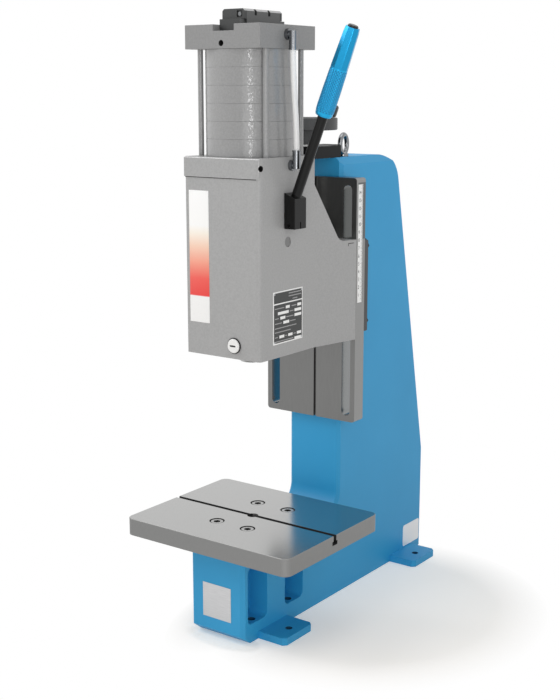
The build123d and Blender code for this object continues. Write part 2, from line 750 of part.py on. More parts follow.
def make_front_plug_seal():
    ring = bar_y(PLUG_X, PLUG_Z, HEAD_FRONT - RING_T, HEAD_FRONT, RING_R)
    return ring - bar_y(PLUG_X, PLUG_Z, HEAD_FRONT - RING_T, HEAD_FRONT, PLUG_SHANK_R)


def make_side_plug():
    out = HEAD_HALF - SIDE_PLUG_SUNK
    return bar_x(SIDE_PLUG_Y, SIDE_PLUG_Z, SIDE_PLUG_IN, out, SIDE_PLUG_R)


# Ram guides
def make_lower_bush():
    bush = bar_z(0, 0, HEAD_LOW, BUSH_LOW_TOP, RAM_BORE_R)
    bush += bar_z(0, 0, HEAD_LOW - BUSH_FLANGE, HEAD_LOW, BUSH_FLANGE_R)
    return bush - bar_z(0, 0, HEAD_LOW - BUSH_FLANGE, BUSH_LOW_TOP, RAM_R + RUN)


def make_upper_bush():
    return ring_z(0, 0, BUSH_HIGH_LOW, HEAD_HIGH, RAM_BORE_R, RAM_R + RUN)


def make_shaft_bush(s):
    x0, x1 = sorted((s * SHAFT_BUSH_IN, s * HEAD_HALF))
    bush = bar_x(SHAFT_Y, SHAFT_Z, x0, x1, SHAFT_BUSH_R)
    return bush - bar_x(SHAFT_Y, SHAFT_Z, x0, x1, SHAFT_R + RUN)


def make_shaft_cover():
    return bar_x(SHAFT_Y, SHAFT_Z, -HEAD_HALF - COVER_T, -HEAD_HALF, COVER_R)


# Ram with a through window whose front wall carries the rack
PITCH_R = MODULE * TEETH / 2
PITCH = pi * MODULE
HALF_TOOTH = (PITCH / 2 - MESH_PLAY) / 2
DEDENDUM = DEDENDUM_SHARE * MODULE
ADDENDUM = MODULE - TIP_PLAY
RACK_LINE = SHAFT_Y - PITCH_R


def make_ram():
    ram = bar_z(0, 0, NOSE_TOP, RAM_HIGH, RAM_R)
    ram = chamfer(ram.edges().filter_by(GeomType.CIRCLE), RAM_EDGE)
    nose = bar_z(0, 0, RAM_LOW, NOSE_TOP, NOSE_R)
    ram += chamfer(nose.edges().filter_by(GeomType.CIRCLE).sort_by(Axis.Z)[0], NOSE_EDGE)
    root = RACK_LINE - DEDENDUM
    ram -= box(-RAM_R, RAM_R, root, WINDOW_BACK, WINDOW_LOW, WINDOW_HIGH)
    lean = tan(radians(PRESSURE))
    tip_half = HALF_TOOTH - ADDENDUM * lean
    root_half = HALF_TOOTH + DEDENDUM * lean
    for k in range(RACK_FIRST, RACK_LAST + 1):
        z = SHAFT_Z + k * PITCH + PITCH / 2
        tooth = [
            (root - DEDENDUM, z - root_half),
            (root, z - root_half),
            (RACK_LINE + ADDENDUM, z - tip_half),
            (RACK_LINE + ADDENDUM, z + tip_half),
            (root, z + root_half),
            (root - DEDENDUM, z + root_half),
        ]
        ram += prism_x(tooth, -RACK_HALF, RACK_HALF)
    ram -= bar_z(0, 0, RAM_LOW, RAM_LOW + TOOL_DEPTH, TOOL_R)
    return ram - bar_y(0, TOOL_SCREW_Z, -NOSE_R, 0, TOOL_SCREW_R)


def make_tool_screw():
    return bar_y(0, TOOL_SCREW_Z, -NOSE_R + TOOL_SCREW_SUNK, -TOOL_R, TOOL_SCREW_R)


# Pinion with involute flanks, on the lever shaft
def make_pinion():
    base_r = PITCH_R * cos(radians(PRESSURE))
    tip_r = PITCH_R + ADDENDUM
    root_r = PITCH_R - DEDENDUM
    pitch_lean = tan(radians(PRESSURE)) - radians(PRESSURE)
    flank = [(root_r, HALF_TOOTH / PITCH_R + pitch_lean)]
    for share in FLANK_SHARES:
        r = base_r + share * (tip_r - base_r)
        angle = acos(min(1, base_r / r))
        flank.append((r, HALF_TOOTH / PITCH_R + pitch_lean - tan(angle) + angle))
    points = []
    for k in range(TEETH):
        middle = pi + k * 2 * pi / TEETH
        for r, half in flank:
            points.append((SHAFT_Y + r * cos(middle - half), SHAFT_Z + r * sin(middle - half)))
        for r, half in reversed(flank):
            points.append((SHAFT_Y + r * cos(middle + half), SHAFT_Z + r * sin(middle + half)))
    wheel = prism_x(points, -PINION_HALF, PINION_HALF)
    wheel -= bar_x(SHAFT_Y, SHAFT_Z, -PINION_HALF, PINION_HALF, SHAFT_R)
    return wheel - make_pinion_key()


def make_pinion_key():
    top = SHAFT_Z + SHAFT_R
    half = KEYWAY_W / 2
    return box(
        -KEYWAY_HALF, KEYWAY_HALF, SHAFT_Y - half, SHAFT_Y + half, top - KEYWAY_IN, top + KEYWAY_OUT
    )


def make_lever_shaft():
    return bar_x(SHAFT_Y, SHAFT_Z, SHAFT_LEFT, SHAFT_RIGHT, SHAFT_R) - make_pinion_key()


# Lever: hub block cut square to the tilted rod, grip and end cap
def along_rod(shape):
    """Stands a shape, made along Z, on the tilted rod axis."""
    return Pos(LEVER_ROD_X, SHAFT_Y, LEVER_ROD_Z) * Rot(0, TILT, 0) * shape


def make_lever_hub():
    drop = (HUB_OUT - HUB_IN) * tan(radians(TILT))
    front = [
        (HUB_IN, HUB_LOW),
        (HUB_OUT, HUB_LOW),
        (HUB_OUT, HUB_TOP_IN - drop),
        (HUB_IN, HUB_TOP_IN),
    ]
    hub = chamfer(prism_y(front, HUB_FRONT, HUB_BACK).edges(), HUB_BREAK)
    hub -= bar_x(SHAFT_Y, SHAFT_Z, HUB_IN, SHAFT_RIGHT, SHAFT_R)
    hub -= along_rod(bar_z(0, 0, ROD_LOW, GRIP_LOW, LEVER_ROD_R))
    half = SLIT_W / 2
    hub -= box(HUB_IN, HUB_OUT, SHAFT_Y - half, SHAFT_Y + half, HUB_LOW, SHAFT_Z - SHAFT_R)
    seat = HUB_FRONT + HUB_SCREW_HEAD
    hub -= bar_y(HUB_SCREW_X, HUB_SCREW_Z, HUB_FRONT, seat, HUB_SCREW_HEAD_R)
    return hub - bar_y(HUB_SCREW_X, HUB_SCREW_Z, seat, HUB_BACK, HUB_SCREW_R)


def make_hub_screw():
    seat = HUB_FRONT + HUB_SCREW_HEAD
    front = HUB_FRONT + HUB_BREAK
    head = bar_y(HUB_SCREW_X, HUB_SCREW_Z, front, seat, HUB_SCREW_HEAD_R)
    head -= hex_y(HUB_SCREW_X, HUB_SCREW_Z, front, front + HUB_SCREW_R, HUB_SCREW_HEAD_R)
    return head + bar_y(HUB_SCREW_X, HUB_SCREW_Z, seat, HUB_BACK - HUB_BREAK, HUB_SCREW_R)


def make_lever_rod():
    length = GRIP_STEPS[-1]
    return along_rod(bar_z(0, 0, ROD_LOW, GRIP_LOW + length, LEVER_ROD_R))


def make_grip():
    length = GRIP_STEPS[-1]
    grip = turned(GRIP_STEPS, GRIP_RADII) - bar_z(0, 0, 0, length, LEVER_ROD_R)
    return along_rod(Pos(0, 0, GRIP_LOW) * grip)


def make_grip_cap():
    length = GRIP_STEPS[-1]
    low = GRIP_LOW + length
    cap = bar_z(0, 0, low, low + CAP_T, CAP_R)
    return along_rod(chamfer(cap.edges().sort_by(Axis.Z)[-1], CAP_EDGE))


# Stacked cylinder: base, three tubes, two partitions and the top cap
RING_ZS = [HEAD_HIGH + k * (CAP_LOW - HEAD_HIGH) / 6 for k in range(7)]


def make_tube(k):
    return ring_z(0, 0, RING_ZS[k], RING_ZS[k + 1], BARREL_R, BORE_R)


def seal_groove(k):
    middle = (RING_ZS[k] + RING_ZS[k + 1]) / 2
    return bar_z(0, 0, middle - ROD_SEAL_T / 2, middle + ROD_SEAL_T / 2, ROD_SEAL_R)


def make_partition(k):
    disc = ring_z(0, 0, RING_ZS[k], RING_ZS[k + 1], BARREL_R, POWER_ROD_R + RUN)
    return disc - seal_groove(k)


def make_rod_seals():
    bore = bar_z(0, 0, HEAD_HIGH, CAP_LOW, POWER_ROD_R + RUN)
    return Compound(children=[seal_groove(k) - bore for k in (0, 2, 4)])


def make_top_cap():
    cap = Pos(0, 0, CAP_LOW) * extrude(
        RectangleRounded(2 * CAP_HALF, 2 * CAP_HALF, CAP_CORNER_R), CAP_HIGH - CAP_LOW
    )
    cap -= box(CHANNEL_LEFT, CHANNEL_RIGHT, -CAP_HALF, CAP_HALF, CHANNEL_FLOOR, CAP_HIGH)
    cap -= bar_y(PORT_X, PORT_Z, -CAP_HALF, -CAP_HALF + PORT_DEPTH, PORT_R)
    cap -= bar_x(UPPER_Y, UPPER_Z, CAP_HALF - NUT_T, CAP_HALF, NECK_R)
    for x, y in corners(TIE_X, TIE_Y):
        cap -= bar_z(x, y, CAP_LOW, CAP_HIGH, TIE_R)
        cap -= bar_z(x, y, TIE_HEAD_LOW, CAP_HIGH, TIE_SINK_R)
    return cap


def make_tie_rods():
    rods = []
    for x, y in corners(TIE_X, TIE_Y):
        rod = bar_z(x, y, TIE_END, TIE_HEAD_LOW, TIE_R)
        rods.append(rod + bar_z(x, y, TIE_HEAD_LOW, TIE_HEAD_HIGH, TIE_HEAD_R))
    return Compound(children=rods)


def piston_low(k):
    return RING_ZS[k] + PISTON_LIFT


def make_pistons():
    discs = []
    for k in (1, 3, 5):
        low = piston_low(k)
        disc = ring_z(0, 0, low, low + PISTON_T, BORE_R - PISTON_GAP, POWER_ROD_R)
        middle = low + PISTON_T / 2
        lower = middle - SEAL_T / 2
        disc -= ring_z(0, 0, lower, lower + SEAL_T, BORE_R, SEAL_IN)
        discs.append(disc)
    return Compound(children=discs)


def make_piston_seals():
    rings = []
    for k in (1, 3, 5):
        lower = piston_low(k) + PISTON_T / 2 - SEAL_T / 2
        rings.append(ring_z(0, 0, lower, lower + SEAL_T, BORE_R - RUN, SEAL_IN))
    return Compound(children=rings)


def make_piston_rod():
    return bar_z(0, 0, POWER_ROD_LOW, POWER_ROD_HIGH, POWER_ROD_R)


# Valve in the channel of the cap
def make_valve():
    left = CHANNEL_LEFT + PLAY
    right = CHANNEL_RIGHT - PLAY
    shelf = CAP_HIGH + VALVE_BASE_RISE
    base = box(left, right, VALVE_BASE_FRONT, VALVE_BASE_BACK, CHANNEL_FLOOR, shelf)
    body = box(VALVE_LEFT, VALVE_RIGHT, VALVE_FRONT, VALVE_BACK, CAP_HIGH, VALVE_HIGH)
    body = chamfer(body.edges().filter_by(Axis.Y).group_by(Axis.Z)[-1], VALVE_EDGE)
    valve = base + body
    for y in NOTCH_YS:
        low = VALVE_HIGH - NOTCH_DEPTH
        for x0, x1 in ((VALVE_RIGHT - NOTCH_IN, VALVE_RIGHT), (VALVE_LEFT, VALVE_LEFT + NOTCH_IN)):
            valve -= box(x0, x1, y - NOTCH_W / 2, y + NOTCH_W / 2, low, VALVE_HIGH)
    x, z = VALVE_SCREW_X, VALVE_SCREW_Z
    valve -= bar_y(x, z, VALVE_FRONT, VALVE_FRONT + VALVE_SCREW_IN, VALVE_SCREW_R / 2)
    valve -= bar_y(x, z, VALVE_BACK - VALVE_SCREW_IN, VALVE_BACK, VALVE_SCREW_R / 2)
    return valve - bar_x(VALVE_SIDE_Y, z, VALVE_LEFT, VALVE_LEFT + VALVE_SCREW_IN, VALVE_SCREW_R / 2)


def make_valve_end(s):
    """End cap at the front or back, with a square recess for its screw."""
    x, z = VALVE_SCREW_X, VALVE_SCREW_Z
    inner = VALVE_FRONT if s < 0 else VALVE_BACK
    outer = inner + s * END_T
    floor = outer - s * RECESS_DEPTH
    end = box(VALVE_LEFT, VALVE_RIGHT, *sorted((inner, outer)), CAP_HIGH + VALVE_BASE_RISE, VALVE_HIGH)
    end = chamfer(end.edges().filter_by(Axis.Y).group_by(Axis.Z)[-1], VALVE_EDGE)
    low = z - RECESS_HALF
    end -= box(x - RECESS_HALF, x + RECESS_HALF, *sorted((floor, outer)), low, low + 2 * RECESS_HALF)
    return end - bar_y(x, z, *sorted((inner, outer)), VALVE_SCREW_R / 2)


def make_valve_ends():
    return Compound(children=[make_valve_end(s) for s in (-1, 1)])


def make_valve_screws():
    x, z = VALVE_SCREW_X, VALVE_SCREW_Z
    screws = []
    for s, inner in ((-1, VALVE_FRONT), (1, VALVE_BACK)):
        seat = inner + s * (END_T - RECESS_DEPTH)
        head = bar_y(x, z, *sorted((seat, seat + s * VALVE_SCREW_PROUD)), VALVE_SCREW_R)
        screws.append(head + bar_y(x, z, *sorted((inner - s * VALVE_SCREW_IN, seat)), VALVE_SCREW_R / 2))
    head = bar_x(VALVE_SIDE_Y, z, VALVE_LEFT - VALVE_SCREW_PROUD, VALVE_LEFT, VALVE_SCREW_R)
    shank = bar_x(VALVE_SIDE_Y, z, VALVE_LEFT, VALVE_LEFT + VALVE_SCREW_IN, VALVE_SCREW_R / 2)
    return Compound(children=[*screws, head + shank])


# Elbows and the hose between them
def make_elbow(face_x, y, z, s):
    elbow = bar_x(y, z, face_x - NUT_T, face_x, NECK_R)
    elbow += bar_x(y, z, face_x, face_x + NUT_T, NUT_R)
    elbow += bar_x(y, z, face_x + NUT_T, ELBOW_X, NECK_R)
    z0, z1 = sorted((z - s * SLEEVE_SHORT, z + s * SLEEVE_LONG))
    elbow += bar_z(ELBOW_X, y, z0, z1, SLEEVE_R)
    tip = z + s * SLEEVE_LONG
    c0, c1 = sorted((tip, tip + s * COLLAR_H))
    elbow += bar_z(ELBOW_X, y, c0, c1, COLLAR_R)
    h0, h1 = sorted((tip + s * COLLAR_H, tip + s * COLLAR_H - s * HOSE_GRIP))
    return elbow - bar_z(ELBOW_X, y, h0, h1, HOSE_R)


def make_hose():
    low = LOWER_Z + SLEEVE_LONG + COLLAR_H - HOSE_GRIP
    high = UPPER_Z - SLEEVE_LONG - COLLAR_H + HOSE_GRIP
    lower = bar_z(ELBOW_X, LOWER_Y, low, low + HOSE_GRIP, HOSE_R)
    upper = bar_z(ELBOW_X, UPPER_Y, high - HOSE_GRIP, high, HOSE_R)
    start = (ELBOW_X, LOWER_Y, low + HOSE_GRIP)
    end = (ELBOW_X, UPPER_Y, high - HOSE_GRIP)
    path = Spline(start, end, tangents=((0, 0, 1), (0, 0, 1)))
    run = sweep(Plane(origin=start, z_dir=(0, 0, 1)) * Circle(HOSE_R), path)
    return lower + run + upper


NODES = {
    "frame": make_frame(),
    "work_table": make_table(),
    "table_screws": make_table_screws(),
    "slide_plate": make_slide_plate(),
    "slide_plate_screws": make_plate_screws(),
    "height_scale": make_height_scale(),
    "lifting_eye": make_lifting_eye(),
    "screw_bracket": make_bracket(),
    "bracket_screws": make_bracket_screws(),
    "thrust_washer": make_thrust_washer(),
    "lifting_screw": make_lifting_screw(),
    "handwheel": make_handwheel(),
    "wheel_nut": make_wheel_nut(),
    "knob_pin": make_knob_pin(),
    "wheel_knob": make_knob(),
    "head_housing": make_head(),
    "front_lip": make_front_lip(),
    "guide_key": make_guide_key(),
    "lifting_nut": make_lifting_nut(),
    "clamp_bar_left": make_clamp_bar(-1),
    "clamp_bar_right": make_clamp_bar(1),
    "clamp_bolts": make_clamp_bolts(),
    "front_plug": make_front_plug(),
    "front_plug_seal": make_front_plug_seal(),
    "side_plug": make_side_plug(),
    "ram_bush_lower": make_lower_bush(),
    "ram_bush_upper": make_upper_bush(),
    "shaft_bush_left": make_shaft_bush(-1),
    "shaft_bush_right": make_shaft_bush(1),
    "shaft_cover": make_shaft_cover(),
    "ram": make_ram(),
    "tool_set_screw": make_tool_screw(),
    "pinion": make_pinion(),
    "pinion_key": make_pinion_key(),
    "lever_shaft": make_lever_shaft(),
    "lever_hub": make_lever_hub(),
    "hub_clamp_screw": make_hub_screw(),
    "lever_rod": make_lever_rod(),
    "lever_grip": make_grip(),
    "grip_end_cap": make_grip_cap(),
    "cylinder_base": make_partition(0),
    "cylinder_tube_lower": make_tube(1),
    "partition_lower": make_partition(2),
    "cylinder_tube_middle": make_tube(3),
    "partition_upper": make_partition(4),
    "cylinder_tube_upper": make_tube(5),
    "rod_seals": make_rod_seals(),
    "top_cap": make_top_cap(),
    "tie_rods": make_tie_rods(),
    "pistons": make_pistons(),
    "piston_seals": make_piston_seals(),
    "piston_rod": make_piston_rod(),
    "valve_body": make_valve(),
    "valve_end_caps": make_valve_ends(),
    "valve_screws": make_valve_screws(),
    "elbow_upper": make_elbow(CAP_HALF, UPPER_Y, UPPER_Z, -1),
    "elbow_lower": make_elbow(HEAD_HALF, LOWER_Y, LOWER_Z, 1),
    "air_hose": make_hose(),
}

for name, shape in NODES.items():
    export_step(shape, f"parts/{name}.step")
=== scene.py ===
import json
from math import atan2, cos, floor, pi, radians, sin
from types import SimpleNamespace

import bpy
from mathutils import Matrix, Vector


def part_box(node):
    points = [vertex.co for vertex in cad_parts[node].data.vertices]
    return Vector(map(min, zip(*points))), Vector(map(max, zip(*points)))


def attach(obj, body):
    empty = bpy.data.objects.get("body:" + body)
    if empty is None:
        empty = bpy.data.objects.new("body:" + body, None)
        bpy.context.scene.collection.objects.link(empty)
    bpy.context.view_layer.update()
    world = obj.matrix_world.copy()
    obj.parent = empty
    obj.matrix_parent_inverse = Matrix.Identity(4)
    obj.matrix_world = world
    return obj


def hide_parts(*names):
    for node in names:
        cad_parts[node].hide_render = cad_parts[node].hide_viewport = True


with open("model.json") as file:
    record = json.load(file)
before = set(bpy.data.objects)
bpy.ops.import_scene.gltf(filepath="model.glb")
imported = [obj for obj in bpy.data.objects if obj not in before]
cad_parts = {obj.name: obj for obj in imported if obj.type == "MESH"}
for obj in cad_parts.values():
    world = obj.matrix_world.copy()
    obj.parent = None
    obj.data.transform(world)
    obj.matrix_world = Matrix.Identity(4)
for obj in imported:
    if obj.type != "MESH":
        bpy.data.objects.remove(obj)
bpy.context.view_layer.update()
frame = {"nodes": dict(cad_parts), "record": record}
NODES = frame["nodes"]
BODY_OF = {n: b for b, members in frame["record"]["behaviour"]["bodies"].items() for n in members}

# Lengths are written in mm and turned to metres
MM = 0.001


def mm(*values):
    """Millimetres to metres, as a vector."""
    return Vector(values) * MM


def box_mm(node):
    """Lowest and highest corner of a CAD node, in mm."""
    low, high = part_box(node)
    return low / MM, high / MM


# Places in mm that the finishes and the pieces share, read from the CAD where its boxes give them
table_high = box_mm("work_table")[1]
TABLE_X, TABLE_TOP = table_high.x, table_high.z
HEAD_FRONT = box_mm("head_housing")[0].y
# The shaft's right bush ends flush with the head's side
HEAD_RIGHT = box_mm("shaft_bush_right")[1].x
BASE_FRONT = box_mm("frame")[0].y
BASE_RIGHT = 40
STRIP_LOW, STRIP_HIGH = 395, 553
# The slots of the slide plate turn from bright to a painted shade between these heights
SLOT_SHADE_LOW, SLOT_SHADE_HIGH = 400, 490


# Colour and shader nodes
def colour(hex_code):
    """sRGB hex to linear RGBA."""
    parts = [int(hex_code[i:i + 2], 16) / 255 for i in (1, 3, 5)]
    linear = [c / 12.92 if c <= 0.04045 else ((c + 0.055) / 1.055) ** 2.4 for c in parts]
    return (*linear, 1.0)


def add_node(tree, kind, settings=None, links=None):
    """Adds a shader node, sets its sockets, properties and colour stops, and links its inputs."""
    node = tree.nodes.new(kind)
    for key, value in (settings or {}).items():
        if key == "stops":
            elements = node.color_ramp.elements
            while len(elements) < len(value):
                elements.new(1.0)
            for element, (position, hex_code) in zip(elements, value):
                element.position = position
                element.color = colour(hex_code)
        elif isinstance(key, int) or key in node.inputs:
            node.inputs[key].default_value = value
        else:
            setattr(node, key, value)
    for key, socket in (links or {}).items():
        tree.links.new(socket, node.inputs[key])
    return node


def per_metre(grain_mm):
    """Texture scale for a pattern whose cells are grain_mm wide."""
    return 1 / (grain_mm * MM)


# Finishes
def new_finish(name, **sockets):
    """A material with a Principled shader whose plain sockets are set, and the parts to build on."""
    material = bpy.data.materials.new(name)
    material.use_nodes = True
    tree = material.node_tree
    shader = tree.nodes["Principled BSDF"]
    for key, value in sockets.items():
        shader.inputs[key.replace("_", " ")].default_value = value
    place = add_node(tree, "ShaderNodeTexCoord").outputs["Object"]
    return SimpleNamespace(material=material, tree=tree, shader=shader, place=place)


def grained(
    name,
    low,
    high,
    grain_mm,
    depth_mm,
    strength,
    detail=3.0,
    spread=0.2,
    stretch=(1, 1, 1),
    tone_mm=None,
    **sockets,
):
    """A finish whose height and tone follow one fine grain, or whose tone follows a wider one."""
    finish = new_finish(name, **sockets)
    tree, shader = finish.tree, finish.shader
    along = add_node(tree, "ShaderNodeMapping", {"Scale": stretch}, {"Vector": finish.place})
    grain = add_node(
        tree,
        "ShaderNodeTexNoise",
        {"Scale": per_metre(grain_mm), "Detail": detail},
        {"Vector": along.outputs["Vector"]},
    )
    tone = grain
    if tone_mm:
        tone = add_node(
            tree,
            "ShaderNodeTexNoise",
            {"Scale": per_metre(tone_mm), "Detail": detail},
            {"Vector": finish.place},
        )
    shade = add_node(
        tree,
        "ShaderNodeValToRGB",
        {"stops": ((0.5 - spread, low), (0.5 + spread, high))},
        {"Fac": tone.outputs["Fac"]},
    )
    relief = add_node(
        tree,
        "ShaderNodeBump",
        {"Strength": strength, "Distance": depth_mm * MM},
        {"Height": grain.outputs["Fac"]},
    )
    tree.links.new(shade.outputs["Color"], shader.inputs["Base Color"])
    tree.links.new(relief.outputs["Normal"], shader.inputs["Normal"])
    finish.grain = grain.outputs["Fac"]
    return finish


def sprayed_paint(name, low, high, roughness):
    """Sprayed paint: faint orange peel, slight change of tone over a hand's width."""
    return grained(
        name,
        low,
        high,
        grain_mm=2.4,
        depth_mm=0.08,
        strength=0.08,
        tone_mm=110,
        Roughness=roughness,
        IOR=1.45,
    ).material


def hammer_paint(name, low, high, coat):
    """Hammer paint: a cloudy grey under a gloss whose small cells catch the light as sparks."""
    finish = grained(
        name,
        low,
        high,
        grain_mm=2.2,
        depth_mm=0.25,
        strength=0.25,
        detail=4.0,
        spread=0.15,
        Roughness=0.5,
        IOR=1.45,
        Coat_Weight=coat,
        Coat_Roughness=0.08,
        Coat_IOR=1.5,
    )
    # The real cells are about 1 mm wide; they are drawn wider so that they show
    cell_mm, cell_depth_mm = 2.7, 0.9
    cells = add_node(
        finish.tree,
        "ShaderNodeTexVoronoi",
        {"Scale": per_metre(cell_mm)},
        {"Vector": finish.place},
    )
    sparks = add_node(
        finish.tree,
        "ShaderNodeBump",
        {"Strength": 0.16, "Distance": cell_depth_mm * MM},
        {"Height": cells.outputs["Distance"]},
    )
    finish.tree.links.new(sparks.outputs["Normal"], finish.shader.inputs["Coat Normal"])
    return finish.material


def ground_steel(name, low, high, roughness, stretch, line_mm=0.8, strength=0.12):
    """Ground steel: fine parallel scratches, drawn coarser than real so that they show."""
    finish = grained(
        name,
        low,
        high,
        grain_mm=line_mm,
        depth_mm=0.02,
        strength=strength,
        detail=5.0,
        stretch=stretch,
        Metallic=1.0,
    )
    gloss = add_node(
        finish.tree,
        "ShaderNodeMapRange",
        {"To Min": roughness - 0.05, "To Max": roughness + 0.05},
        {"Value": finish.grain},
    )
    finish.tree.links.new(gloss.outputs["Result"], finish.shader.inputs["Roughness"])
    return finish.material


def fine_metal(name, low, high, roughness, grain_mm=0.8, metallic=1.0, strength=0.12, shine=0.5):
    """Metal with an even fine grain, from blasting, plating or black oxide."""
    return grained(
        name,
        low,
        high,
        grain_mm=grain_mm,
        depth_mm=0.03,
        strength=strength,
        Metallic=metallic,
        Roughness=roughness,
        Specular_IOR_Level=shine,
    ).material


def moulded_plastic(name, low, high, roughness, grain_mm, strength=0.02):
    """Moulded plastic or film: even colour, light moulding grain."""
    return grained(
        name,
        low,
        high,
        grain_mm=grain_mm,
        depth_mm=0.05,
        strength=strength,
        spread=0.25,
        Roughness=roughness,
        IOR=1.46,
    ).material


def changing(name, bottom_mm, top_mm, *stops, **sockets):
    """A surface whose colour changes with height: a faded print, and slot walls with a painted shade
    above.
    """
    finish = new_finish(name, **sockets)
    tree = finish.tree
    height = add_node(tree, "ShaderNodeSeparateXYZ", links={"Vector": finish.place})
    share = add_node(
        tree,
        "ShaderNodeMapRange",
        {"From Min": bottom_mm * MM, "From Max": top_mm * MM},
        {"Value": height.outputs["Z"]},
    )
    shade = add_node(tree, "ShaderNodeValToRGB", {"stops": stops}, {"Fac": share.outputs["Result"]})
    tree.links.new(shade.outputs["Color"], finish.shader.inputs["Base Color"])
    return finish.material


# Sprayed blue polyurethane: a satin, even blue with soft edges of light
BLUE = sprayed_paint("blue_polyurethane_paint", "#2c9cd2", "#31a2d8", roughness=0.5)
# The same paint inside drilled holes, where little light comes
SHADED_BLUE = sprayed_paint("shaded_blue_paint", "#0c405d", "#0e4665", roughness=0.6)
# Hammer paint on the cast head: quiet mid grey, a few sparks
HAMMER = hammer_paint("grey_hammer_paint", "#9f9f9f", "#a7a7a7", coat=0.3)
# Thick hammer paint on the cylinder: a broken bright streak down its side
BARREL = hammer_paint("grey_cylinder_paint", "#8b8b8b", "#929292", coat=1.0)
# Thin hammer paint on the cap: flat grey, soft corners
CAP_GREY = hammer_paint("grey_cap_paint", "#888888", "#8e8e8e", coat=0.2)
# Painted highlight on the lip's upper edge: hammer paint in a pale grey, a thin line
LIP_HIGHLIGHT = hammer_paint("hammer_paint_lip_highlight", "#d5d5d5", "#eeeeee", coat=0.3)
# Moulded grey plug: dull, a little darker than the paint round it
PLUG_GREY = moulded_plastic("grey_plug_plastic", "#7a7a7a", "#858585", 0.55, 1.0, strength=0.1)
# Moulded white plug: smooth and pale
PLUG_WHITE = moulded_plastic("white_plug_plastic", "#eaeae9", "#f1f1f0", 0.4, 1.0)
# Ground table top: long soft reflections of what stands behind it
TABLE = ground_steel("ground_table_steel", "#acacab", "#b0b0af", 0.2, (0.05, 1, 1), strength=0.02)
# Milled table sides: duller than the top, upright tool marks
EDGE_STEEL = ground_steel("milled_edge_steel", "#878786", "#8d8d8c", 0.5, (1, 1, 0.1), strength=0.05)
# Painted shade in slots, holes and round sunk screws: nearly black, no shine
RECESS_SHADE = fine_metal("painted_recess_shade", "#0a0a0a", "#0e0e0e", 0.8, metallic=0.0)
# Milled slide plate: dark even grey that mirrors softly
PLATE = ground_steel("milled_plate_steel", "#787877", "#7d7d7c", 0.3, (1, 1, 0.06), strength=0.03)
# Milled sides of the plate: lighter than its face
PLATE_SIDE = ground_steel("milled_side_steel", "#8d8d8c", "#939392", 0.4, (1, 1, 0.06), strength=0.03)
# Walls of the plate's slots: bright below, a darker grey above as painted shade
SLOT_WALL = changing(
    "slot_steel_painted_shade",
    SLOT_SHADE_LOW,
    SLOT_SHADE_HIGH,
    (0.0, "#888a8a"),
    (1.0, "#5a5c5b"),
    Metallic=1.0,
    Roughness=0.2,
)
# Painted shade along the plate's edge beside the scale: a dull dark line
SCALE_SHADE = fine_metal("painted_edge_shade", "#5a5d5e", "#626566", 0.4, metallic=0.6)
# Turned bright steel: light grey with clear highlights
BRIGHT = fine_metal("turned_bright_steel", "#a4a4a3", "#b4b4b3", 0.3, 0.7)
# Blackened steel: almost black with a weak sheen
DARK = fine_metal("blackened_steel", "#0f1012", "#141516", 0.45, 0.7, metallic=0.0, shine=0.15)
# Phosphated bars: dark, dull, half metallic
BAR = fine_metal("phosphated_bar_steel", "#474748", "#535354", 0.5, metallic=0.5)
# Black oxide on the lever: black with narrow highlights
BLACK = fine_metal(
    "black_oxide_steel", "#090909", "#0e0e0e", 0.3, 0.7, metallic=0.0, strength=0.06, shine=0.24
)
# Chrome plating: sharp dark and light reflections
CHROME = fine_metal("chrome_plating", "#7c7e81", "#868889", 0.08, 1.5, strength=0.02)
# Nickel plated fittings: as chrome, a little darker and softer
NICKEL = fine_metal("nickel_plated_brass", "#787a7d", "#828487", 0.1, 1.5, strength=0.02)
# Turned aluminium: pale and soft
ALUMINIUM = fine_metal("turned_aluminium", "#b0b2b4", "#bec0c2", 0.3, 0.7)
# Dark anodised valve: charcoal, dull
VALVE = fine_metal("dark_anodised_aluminium", "#3c3d3d", "#434444", 0.42, metallic=0.3)
# Sides of the valve: a lighter grey than its front, dull
VALVE_SIDE = fine_metal("valve_side_aluminium", "#5a5b5b", "#616262", 0.42, metallic=0.3)
# Painted highlight on the valve's upper chamfers: a pale line
CHAMFER_HIGHLIGHT = fine_metal("aluminium_painted_highlight", "#acacac", "#b6b6b6", 0.35, metallic=0.6)
# Coated handwheel: dark grey, dull
WHEEL = fine_metal("dark_coated_aluminium", "#3c3d3e", "#464748", 0.45, metallic=0.3)
# Blue anodised grip: clear blue with a metal's shine
GRIP = fine_metal(
    "blue_anodised_aluminium", "#1c9fd4", "#22a8dd", 0.24, metallic=0.72, strength=0.05
)
# The grip's flats: the same blue, painted darker as the dark reflections they catch
FLATS_SHADE = fine_metal("blue_anodised_flats_shade", "#1590c2", "#1997ca", 0.24, metallic=0.72, strength=0.05)
# The grooves between the grip's points: the same blue, painted darker as shade
GROOVE_SHADE = fine_metal("blue_anodised_groove_shade", "#0e6e9d", "#1277a8", 0.4, metallic=0.45, strength=0.05)
# Turned bronze bushes: warm and soft
BRONZE = fine_metal("turned_bronze", "#a37a44", "#b98e55", 0.34, 0.7)
# Moulded phenolic knob: glossy black
KNOB = moulded_plastic("black_phenolic", "#0f0f10", "#17171a", 0.3, 0.9, strength=0.1)
# Nitrile rubber: dull black; the same black is also the painted shadow under the lip
RUBBER_AND_SHADOW = moulded_plastic("black_rubber_and_painted_shadow", "#0c0c0c", "#141414", 0.6, 0.7, strength=0.1)
# Extruded polyurethane tube: white with a long highlight
HOSE = moulded_plastic("white_polyurethane_tube", "#f4f4f3", "#f8f8f7", 0.3, 3.0)
# Printed film on the scale and the rating plate: plain white
WHITE = moulded_plastic("white_printed_film", "#f3f3f2", "#f8f8f7", 0.4, 1.2)
